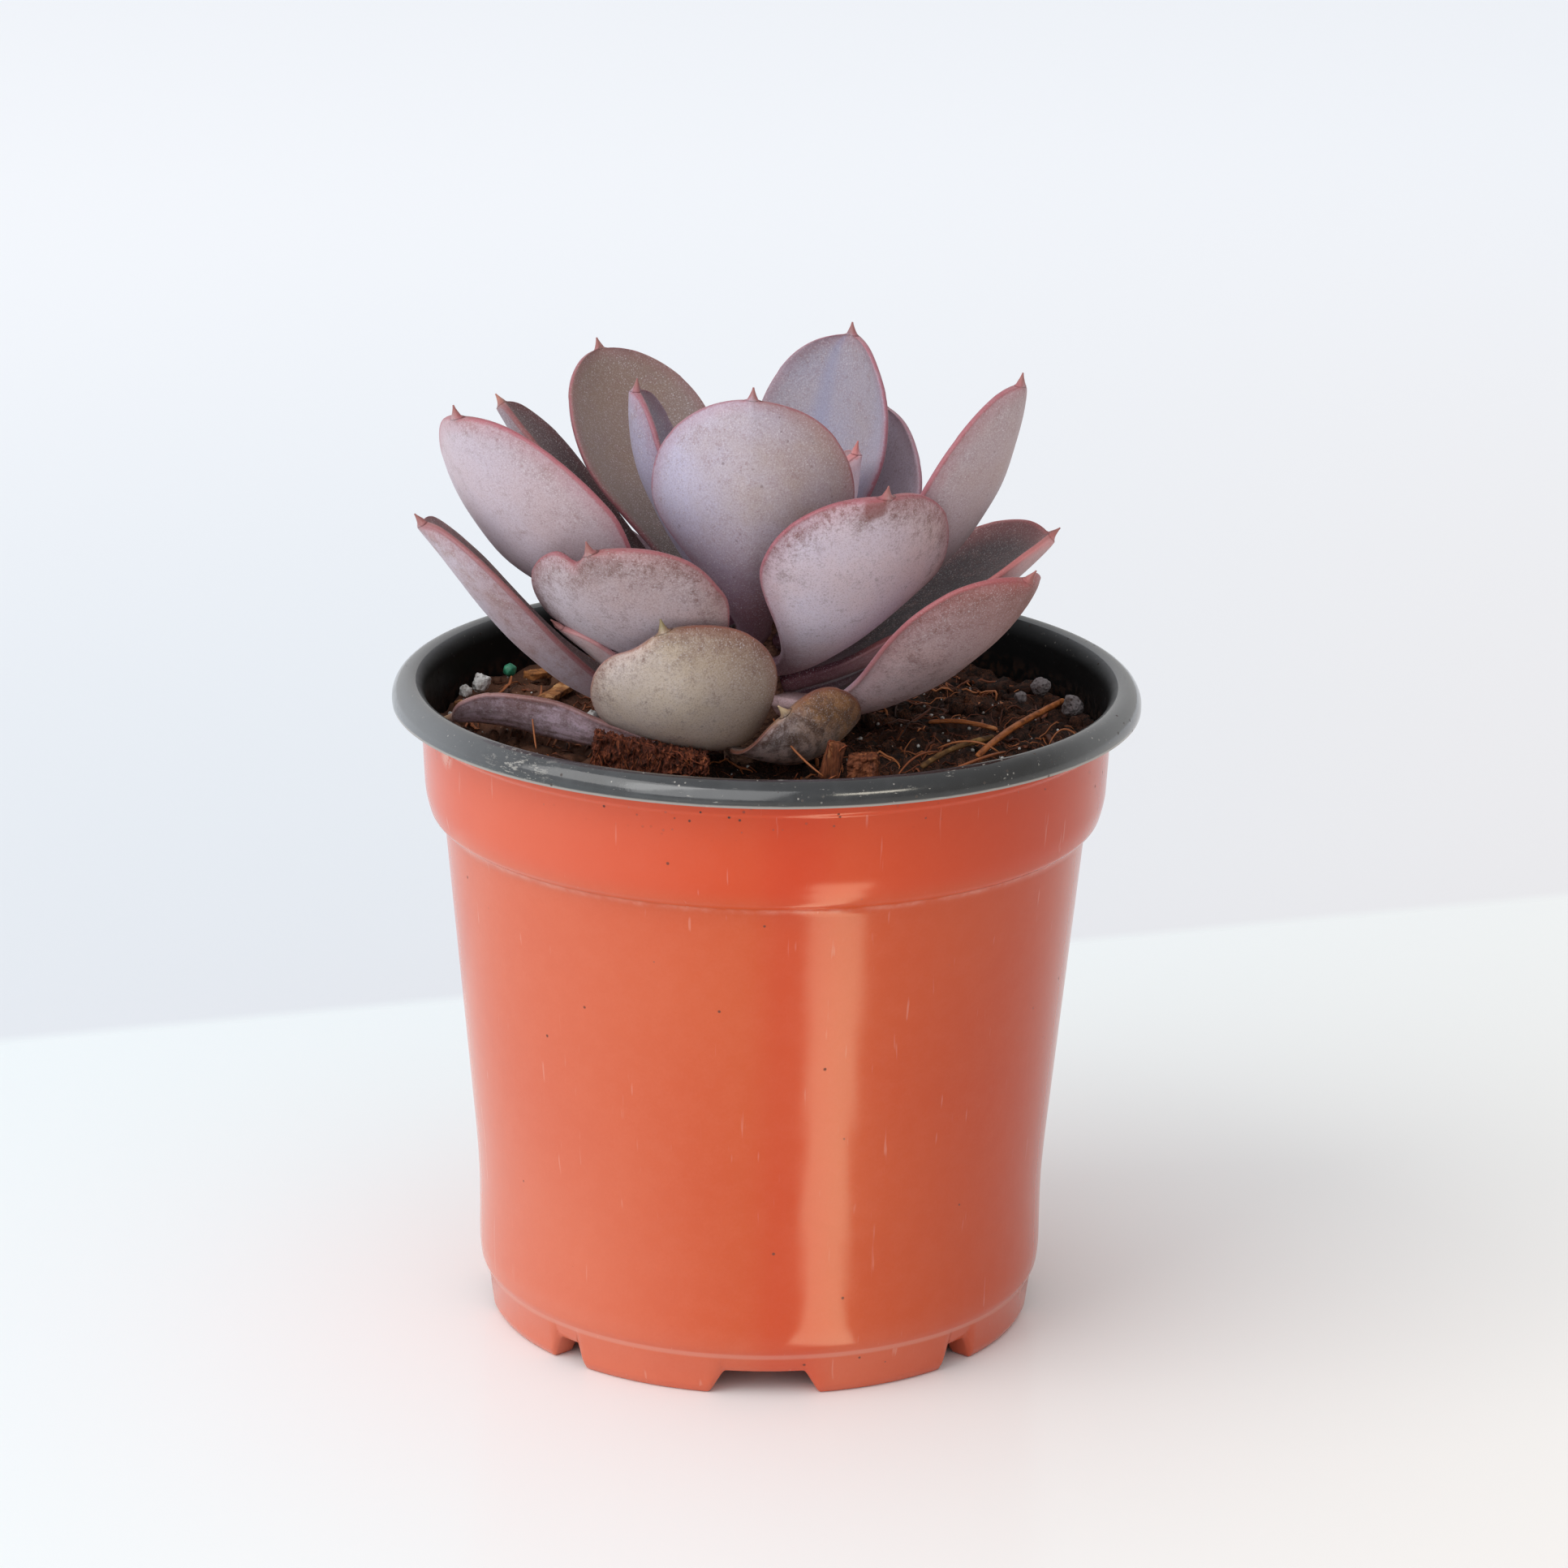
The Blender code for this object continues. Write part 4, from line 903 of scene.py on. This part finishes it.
# Loose pieces, refined from their solids
def refine(name, paint, slot, cuts, depth, perMm, stretch=(1.0, 1.0, 1.0), fine=0.0, strands=0):
    shape = bmesh.new()
    shape.from_mesh(nodes[name].data)
    bmesh.ops.remove_doubles(shape, verts=shape.verts, dist=1e-6)
    for _ in range(cuts):
        bmesh.ops.subdivide_edges(shape, edges=shape.edges[:], cuts=1, use_grid_fill=True, smooth=0.0)
    for _ in range(cuts + 1):
        bmesh.ops.smooth_vert(
            shape, verts=shape.verts, factor=0.5, use_axis_x=True, use_axis_y=True, use_axis_z=True)
    shape.normal_update()
    moves = []
    for v in shape.verts:
        spot = Vector(v.co[k] / mm * perMm * stretch[k] for k in range(3))
        rise = noise.fractal(spot, 0.7, 2.0, 4) * depth
        if fine:
            rise += noise.noise(spot * 5.3) * fine
        moves.append(v.normal * min(rise, depth * 0.8) * mm)
    for v, move in zip(shape.verts, moves):
        v.co += move
    if strands:
        points, faces = strandsOver(shape, strands, len(name))
        ends = [shape.verts.new(p) for p in points]
        for f in faces:
            shape.faces.new([ends[k] for k in f]).material_index = 1
    mesh = bpy.data.meshes.new(name + "_fine")
    shape.to_mesh(mesh)
    shape.free()
    mesh.shade_smooth()
    mesh.materials.append(paint.material)
    if strands:
        mesh.materials.append(coirStrand.material)
    dress(name + "_fine", mesh, name)


def grainyPaint(name, dark, mid, light, perMm, stretch=(1.0, 1.0, 1.0), rough=0.85, depth=0.3):
    # three tones in a stretched grain
    paint = Paint(name, Specular_IOR_Level=0.25)
    by = tuple(perMm * s for s in stretch)
    grain = paint.cloud(by, 4.0, 0.7)
    broad = paint.cloud(perMm * 0.25, 2.0)
    paint.base(grain.step(0.34, 0.56), dark, mid)
    paint.coat((grain * 0.7 + broad * 0.5).step(0.62, 0.8), light)
    return paint.finish(rough - grain * 0.15, grain, depth, 0.8)


# dark, middle and light tone, grain per millimetre and its stretch, roughness, bumps
long, crossed = (0.4, 0.4, 1.0), (1.0, 1.0, 0.45)
coir = grainyPaint("coir_skin", (44, 19, 12), (106, 50, 30), (164, 92, 58), 2.2, crossed, depth=0.5)
coirStrand = grainyPaint(
    "coir_strand_skin", (84, 38, 22), (136, 68, 40), (184, 110, 68), 1.4, (1.0, 1.0, 0.6), depth=0.05)
bark = grainyPaint("bark_skin", (66, 32, 18), (122, 66, 38), (176, 116, 74), 1.6, (1.0, 1.0, 0.2), depth=0.15)
flake = grainyPaint(
    "flake_skin", (96, 58, 30), (162, 104, 56), (208, 158, 104), 1.2, (0.6, 0.6, 1.0), depth=0.15)
straw = grainyPaint("straw_skin", (122, 66, 30), (186, 108, 56), (220, 150, 92), 1.2, long, 0.6, 0.08)
twig = grainyPaint("twig_skin", (66, 44, 24), (112, 78, 40), (160, 122, 70), 1.2, long, 0.8, 0.12)
stemBark = grainyPaint(
    "stem_skin", (84, 56, 44), (136, 100, 80), (176, 140, 116), 0.9, (1.0, 1.0, 2.4), depth=0.25)


def perlitePaint(name, low, high, stain):
    paint = Paint(name, Specular_IOR_Level=0.3)
    pits = paint.cells(1.6)
    tone = paint.cloud(0.8, 3.0, 0.6)
    paint.base(pits.step(0.1, 0.4), low, high)
    paint.coat(tone.step(0.48, 0.7) * 0.7, stain)
    return paint.finish(0.8 + tone * 0.15, pits + tone * 0.5, 0.25, 0.7)


def beadPaint():
    paint = Paint("feed_bead_skin", Specular_IOR_Level=0.5)
    tone = paint.cloud(1.2, 3.0, 0.6)
    paint.base(tone.step(0.35, 0.7), (22, 112, 82), (70, 164, 124))
    return paint.finish(0.35 + tone * 0.3, tone, 0.08, 0.4)


perlite = perlitePaint("perlite_skin", (146, 142, 138), (214, 212, 208), (150, 138, 126))
perliteDarker = perlitePaint("perlite_stained_skin", (70, 60, 58), (132, 124, 124), (84, 66, 58))
even = (1.0, 1.0, 1.0)
# paint, slot, cuts, relief in millimetres and its grain per millimetre, stretch, fine relief, strands
loose = {
    "coir_chip_front": (coir, "coir", 4, 0.7, 1.1, (1.8, 1.8, 0.5), 0.25, 110),
    "coir_chunk_right": (coir, "coir", 4, 0.8, 0.8, (1.4, 1.4, 0.6), 0.2, 70),
    "bark_chip_upright": (bark, "bark", 3, 0.12, 1.0, (2.0, 2.0, 0.3), 0.03, 8),
    "bark_chip_round": (bark, "bark", 4, 0.3, 1.0, even, 0.05),
    "bark_flake_left": (flake, "bark", 3, 0.12, 0.8, even, 0.03),
    "bark_flake_back": (flake, "bark", 3, 0.12, 0.8, even, 0.03),
    "bark_flake_wall": (flake, "bark", 3, 0.1, 0.8, even, 0.03),
    "straw_right": (straw, "straw", 2, 0.04, 0.8),
    "twig_front_right": (twig, "bark", 2, 0.1, 0.8, even, 0.02),
    "fibre_right": (straw, "straw", 2, 0.05, 0.8),
    "feed_bead": (beadPaint(), "feed_bead", 3, 0.03, 1.0),
}
for name in nodes:
    if name.startswith("perlite"):
        # the pieces at the right and at the back get the darker paint
        darker = "right" in name or "back" in name
        loose[name] = (perliteDarker if darker else perlite, "perlite", 4, 0.22, 0.55, even, 0.03)
loose["stem"] = (stemBark, "stem", 3, 0.25, 0.5, (1.0, 1.0, 3.0), 0.05)
for name, values in loose.items():
    refine(name, *values)
print("loose pieces and stem:", len(loose))


# Soil: the root ball, with crumbs, white specks and fibres on its top. Millimetres.
soil = {
    "level": 80.5, "holeLow": 72.0, "hole": 4.5, "holeX": -1.5, "wall": 44.85, "rings": 104, "headings": 220,
    "dips": ((-1.5, 0.0, 12.0, 3.0), (-4.0, -16.0, 7.0, 1.6), (-23.5, -5.5, 11.5, 2.4),
             (-38.0, -3.0, 7.0, 1.2), (4.0, -17.0, 7.0, 1.6)),
    "crumbs": 640, "clods": 60, "specks": 260, "fibres": 820, "shreds": 300, "edge": 44.3, "seed": 5,
    # length and thickness of fibres and shreds, each as the least and what is added at most
    "fibre": (1.8, 9.0, 0.05, 0.15), "shred": (1.6, 5.5, 0.14, 0.34),
}
# fibres placed one by one: start, top and end, thickness, shade from 0 dark to 1 orange
soilStrands = (
    (((0.9, -17.6, 87.4), (3.6, -20.6, 84.2), (7.5, -22.6, 81.2)), 0.3, 0.85),
    (((-30.9, -9.6, 84.6), (-30.6, -10.6, 82.6), (-30.3, -11.8, 81.2)), 0.25, 0.9),
    (((17.2, -21.4, 81.0), (20.0, -16.0, 82.2), (23.4, -10.6, 81.0)), 0.3, 0.6),
    (((22.2, -22.4, 81.1), (27.4, -17.4, 82.0), (31.6, -10.4, 81.2)), 0.45, 0.7),
    (((22.8, -8.4, 81.0), (27.0, -9.8, 82.4), (30.8, -10.0, 81.0)), 0.3, 0.95),
    (((37.6, -6.0, 81.0), (39.6, -4.2, 82.6), (42.0, -4.8, 81.2)), 0.25, 0.9),
)


def soilHeight(x, y):
    high = soil["level"]
    high += 0.45 * sin(0.31 * x + 1.3) * cos(0.27 * y - 0.4)
    high += 0.25 * sin(0.62 * x + 0.45 * y + 2.0)
    for atX, atY, radius, depth in soil["dips"]:
        high -= depth * exp(-((x - atX) ** 2 + (y - atY) ** 2) / radius ** 2)
    return high


def soilTop(x, y):
    # rough top, mostly a little under the plain one
    spot = Vector((x, y, 0.0))
    rough = noise.fractal(spot * 0.42, 0.6, 2.1, 5) * 0.8 + noise.fractal(spot * 1.7, 0.5, 2.1, 3) * 0.32
    return soilHeight(x, y) + min(rough - 0.35, 0.12)


def neighbours():
    # all that stands or lies on the soil
    points, faces = [], []
    for name, node in nodes.items():
        if name not in ("pot", "soil"):
            base = len(points)
            points += [v.co / mm for v in node.data.vertices]
            faces += [tuple(base + k for k in f.vertices) for f in node.data.polygons]
    return BVHTree.FromPolygons(points, faces)


def lump(centre, size, fine, seed, uneven):
    shape = bmesh.new()
    bmesh.ops.create_icosphere(shape, subdivisions=fine, radius=1.0)
    points = []
    for v in shape.verts:
        swell = 1 + uneven * noise.noise(v.co * 1.4 + Vector((seed, seed * 0.7, 0)))
        points.append(Vector(v.co[k] * size[k] * swell + centre[k] for k in range(3)))
    faces = [tuple(v.index for v in f.verts) for f in shape.faces]
    shape.free()
    return points, faces


def soilPaint():
    paint = Paint("soil_skin", Specular_IOR_Level=0.2)
    broad = paint.cloud(0.16, 3.0)
    mid = paint.cloud(0.9, 4.0, 0.7)
    fine = paint.cloud(4.0, 3.0, 0.7)
    paint.base(mid.step(0.38, 0.62), (22, 13, 10), (70, 42, 30))
    paint.coat((fine * 0.6 + broad * 0.5).step(0.56, 0.72), (118, 70, 45))
    # lighter to the left, where the window's light falls on the soil: painted light
    paint.coat(paint.axes()[0].step(-8.0, -30.0) * 0.6, (118, 80, 60))
    thread = paint.cloud((2.6, 0.5, 1.0), 3.0, 0.7).step(0.62, 0.7) * 0.6
    paint.coat(thread, (128, 72, 40))
    paint.coat(paint.specks(1.1, (0.1, 0.05), 0.3, (0.5, 0.6)) * 0.8, (200, 190, 176))
    return paint.finish(0.95 - fine * 0.15, mid + fine * 0.5, 0.5, 0.8)


def fibrePaint():
    paint = Paint("soil_fibre_skin", Specular_IOR_Level=0.3)
    shade = paint.layer("shade")
    tone = paint.cloud(1.4, 3.0, 0.6) - 0.5
    paint.base((shade * 1.6 + tone * 0.5).held(), (44, 22, 14), (134, 70, 38))
    paint.coat((shade * 2.2 - 1.2 + tone * 0.6).held(), (184, 112, 66))
    return paint.finish(0.6 + tone * 0.2, tone, 0.05, 0.5)


def buildSoil():
    draw = random.Random(soil["seed"])
    around = neighbours()
    points, faces, kinds, shades = [], [], [], []

    def join(newPoints, newFaces, kind, shade=0.0):
        base = len(points)
        points.extend(newPoints)
        faces.extend(tuple(base + k for k in f) for f in newFaces)
        kinds.extend([kind] * len(newFaces))
        shades.extend([shade] * len(newPoints))

    def free(spot, room):
        return around.find_nearest(Vector(spot), room)[0] is None

    def within(spot, edge):
        return (spot[0] ** 2 + spot[1] ** 2) ** 0.5 < edge

    # root ball
    headings = soil["headings"]
    # it stands clear of the floor and the wall
    floor, clear = pot["floor"] + 1.1, 0.3
    side = [(pot["footR"] - pot["sheet"] - 0.4, floor), (pot["baseR"] - 1.1, 7.8)]
    side += [(r - clear, z) for r, z in innerWall()]
    radii = np.linspace(soil["hole"], soil["wall"], soil["rings"])
    ball = []
    for k in range(headings):
        away = 2 * pi * k / headings
        ball.append((soil["hole"] * sin(away) + soil["holeX"], -soil["hole"] * cos(away), soil["holeLow"]))
        for r in radii:
            shift = soil["holeX"] * max(1 - (r - soil["hole"]) / 12, 0.0)
            x, y = r * sin(away) + shift, -r * cos(away)
            ball.append((x, y, soilTop(x, y)))
        ball += [(r * sin(away), -r * cos(away), z) for r, z in reversed(side)]
    count = 1 + len(radii) + len(side)
    ballFaces = []
    for i in range(headings):
        here, there = i * count, (i + 1) % headings * count
        ballFaces += [(here + j, here + j + 1, there + j + 1, there + j) for j in range(count - 1)]
        ballFaces.append((here + count - 1, headings * count, there + count - 1))
        ballFaces.append((headings * count + 1, here, there))
    ball += [(0.0, 0.0, floor), (soil["holeX"], 0.0, soil["holeLow"])]
    join(ball, ballFaces, 0)

    def anywhere(low=6.0, high=43.6):
        r = (low ** 2 + (high ** 2 - low ** 2) * draw.random()) ** 0.5
        a = 2 * pi * draw.random()
        return r * sin(a), -r * cos(a)

    # clods, crumbs, then white specks
    for k in range(soil["clods"]):
        x, y = anywhere()
        size = 1.0 + 1.2 * draw.random() ** 2
        spot = (x, y, soilTop(x, y) - size * 0.15)
        if free(spot, size * 1.3 + 0.2) and within(spot, soil["edge"] - 0.1 - size):
            join(*lump(spot, (size * 1.2, size, size * 0.8), 2, k + 0.3, 0.9), 0)
    for k in range(soil["crumbs"]):
        x, y = anywhere()
        size = 0.25 + 0.85 * draw.random() ** 2.5
        spot = (x, y, soilTop(x, y) + size * 0.15)
        if free(spot, size + 0.15) and within(spot, soil["edge"] + 0.3 - size):
            wide = tuple(size * (0.8 + 0.5 * draw.random()) for _ in range(3))
            join(*lump(spot, wide, 2 if size > 0.7 else 1, k, 0.5), 0)
    for k in range(soil["specks"]):
        x, y = anywhere()
        size = 0.12 + 0.22 * draw.random() ** 2
        spot = (x, y, soilTop(x, y) + size * 0.5)
        if free(spot, size + 0.1):
            join(*lump(spot, (size,) * 3, 1, k, 0.4), 2)

    # fibres: most lie loose on the top, some stand up in a low bow
    short, longer, thin, thicker = soil["fibre"]
    made = tries = 0
    while made < soil["fibres"] and tries < 6 * soil["fibres"]:
        tries += 1
        x, y = anywhere(7.0, 42.5)
        long = short + longer * draw.random() ** 1.8
        radius = thin + thicker * draw.random() ** 2.5
        heading, turn = 2 * pi * draw.random(), draw.uniform(-0.35, 0.35)
        hump = draw.choice((0.15, 0.3, 0.5, 1.1)) * draw.random() * long / 8
        steps = max(5, int(long / 0.9))
        path = []
        for k in range(steps + 1):
            t = k / steps
            path.append((x, y, soilTop(x, y) + radius * 0.7 + hump * 4 * t * (1 - t) + 0.2 * draw.random()))
            heading += turn + draw.uniform(-0.16, 0.16)
            x += cos(heading) * long / steps
            y += sin(heading) * long / steps
        if all(within(p, soil["edge"]) and free(p, radius + 0.2) for p in path):
            join(*tube(path, radius, 4), 1, draw.random() ** 1.3)
            made += 1
    # flat shreds of coir, some with one end up
    short, longer, thin, thicker = soil["shred"]
    for _ in range(soil["shreds"]):
        x, y = anywhere(7.0, 42.0)
        long = short + longer * draw.random() ** 1.6
        radius = thin + thicker * draw.random() ** 1.8
        heading, turn, rise = 2 * pi * draw.random(), draw.uniform(-0.2, 0.2), draw.uniform(-0.15, 0.3) * long
        path = []
        for k in range(6):
            path.append((x, y, soilTop(x, y) + 0.1 + rise * (k / 5) ** 2 + 0.12 * draw.random()))
            heading += turn
            x += cos(heading) * long / 5
            y += sin(heading) * long / 5
        if all(within(p, soil["edge"] - 0.3) and free(p, radius + 0.25) for p in path):
            join(*tube(path, radius, 6, 0.5, 0.35), 1, draw.random())
    for ends, thick, shade in soilStrands:
        a, b, c = (Vector(p) for p in ends)
        # a bow from a to c that goes through b
        path = [a * (1 - t) ** 2 + (4 * b - a - c) * t * (1 - t) + c * t * t for t in np.linspace(0, 1, 15)]
        join(*tube(path, thick / 2, 6, 0.6), 1, shade)
    print("soil: fibres", made, "points", len(points))
    paints = [soilPaint(), fibrePaint(), perlite]
    addPiece("soil_bed", np.array([tuple(p) for p in points]) * mm, faces, paints, "soil",
             kinds=kinds, layers={"shade": shades})


buildSoil()

# Table, with a soft change of tone behind the pot, where the wall begins
table = {
    "size": 3.0, "line": ((-117.6, 97.3), (135.6, 181.2)), "left": (244, 252, 254), "right": (253, 250, 245),
    "wallLow": (230, 235, 240), "wallLowRight": (240, 238, 238), "wallHigh": (250, 252, 255),
}


def makeTable():
    mesh = bpy.data.meshes.new("table")
    half = table["size"]
    corners = [(-half, -half, 0), (half, -half, 0), (half, half, 0), (-half, half, 0)]
    mesh.from_pydata(corners, [], [(0, 1, 2, 3)])
    paint = Paint("table_top", Specular_IOR_Level=0.06)
    x, y, _ = paint.axes()
    (x0, y0), (x1, y1) = table["line"]
    wide, deep = x1 - x0, y1 - y0
    long = (wide ** 2 + deep ** 2) ** 0.5
    # distance behind the line in millimetres
    behind = x * (-deep / long) + y * (wide / long) + (x0 * deep - y0 * wide) / long
    wall = behind.step(-2.0, 4.0)
    # the wall is greyer at its foot than high up: painted shade where it meets the table
    low = paint.mix(x.step(-100.0, 200.0), linear(table["wallLow"]), linear(table["wallLowRight"]))
    tone = paint.mix(behind.step(-60.0, 700.0), low, linear(table["wallHigh"]))
    # the table's white is cool to the left and warm to the right, painted to follow the colour of the light
    # on it
    white = paint.mix((x * 0.004 - y * 0.002 + 0.35).held(), linear(table["left"]), linear(table["right"]))
    paint.feed(paint.shader.inputs["Base Color"], paint.mix(wall, white, tone))
    paint.feed(paint.shader.inputs["Roughness"], 0.16 + wall * 0.75)
    mesh.materials.append(paint.material)
    put("table", mesh)


makeTable()

# Light: a big soft window at the front left, a pale room, and a bright streak on the table
lights = {
    "aim": Vector((0.0, 0.0, 0.08)),
    "window": {
        "turn": -58.0, "rise": 40.0, "far": 2.6, "size": 2.1, "power": 26.0, "colour": (1.0, 0.985, 0.96),
    },
    "room": {"left": (0.94, 0.97, 1.02), "right": (0.55, 0.54, 0.525), "toLeft": (-0.8, -0.42, 0.42)},
    # strips along the table, in millimetres: x, y, length, width
    "streak": {
        "strips": ((19.0, -58.0, 28.0, 14.0), (32.0, -84.0, 30.0, 22.0), (45.5, -110.0, 30.0, 34.0),
                   (60.0, -139.0, 34.0, 48.0)),
        "high": 0.3, "heading": -63.0, "colour": (1.0, 0.97, 0.66), "strength": 3.3,
    },
    # seen only as a gloss: a streak on the lip, and a pale wall
    "glosses": (
        {"place": (0.585, -0.885, 0.56), "size": (0.42, 0.16), "strength": 6.0, "colour": (1.0, 0.93, 0.78)},
        {"place": (-0.59, -1.62, 1.0), "size": (1.6, 1.9), "strength": 1.4, "colour": (1.0, 1.0, 1.0)},
    ),
}


def areaLamp(name, size, colour, power, spot, turned, glossOnly=True):
    lamp = bpy.data.lights.new(name, "AREA")
    lamp.shape = "RECTANGLE"
    lamp.size, lamp.size_y = size
    lamp.color = colour
    lamp.energy = power
    lamp = put(name, lamp)
    lamp.location = spot
    lamp.rotation_euler = turned
    lamp.visible_camera = lamp.visible_diffuse = not glossOnly


def makeLights():
    w = lights["window"]
    turn, rise = radians(w["turn"]), radians(w["rise"])
    away = Vector((sin(turn) * cos(rise), -cos(turn) * cos(rise), sin(rise)))
    areaLamp("window", (w["size"], w["size"]), w["colour"], w["power"], away * w["far"] + lights["aim"],
             away.to_track_quat("Z", "Y").to_euler(), False)

    r = lights["room"]
    sky = Sky("room")
    values = {0: sky.place, 1: r["toLeft"]}
    lean = sky.node("ShaderNodeVectorMath", {"operation": "DOT_PRODUCT"}, values, "Value")
    sky.feed(sky.shader.inputs["Color"], sky.mix(lean.step(-0.7, 0.9), r["right"], r["left"]))
    bpy.context.scene.world = sky.world

    s = lights["streak"]
    for k, (x, y, long, wide) in enumerate(s["strips"]):
        areaLamp(f"streak{k}", (long * mm, wide * mm), s["colour"], 4 * s["strength"] * long * wide * mm * mm,
                 (x * mm, y * mm, s["high"] * mm), (pi, 0.0, radians(s["heading"])))

    for k, g in enumerate(lights["glosses"]):
        spot, (long, wide) = Vector(g["place"]), g["size"]
        areaLamp(f"gloss{k}", g["size"], g["colour"], 4 * g["strength"] * long * wide,
                 spot + lights["aim"], spot.to_track_quat("Z", "Y").to_euler())


makeLights()
bpy.context.scene.view_settings.view_transform = "Standard"
bpy.context.scene.view_settings.look = "None"
print("light and table done")

bpy.context.view_layer.update()
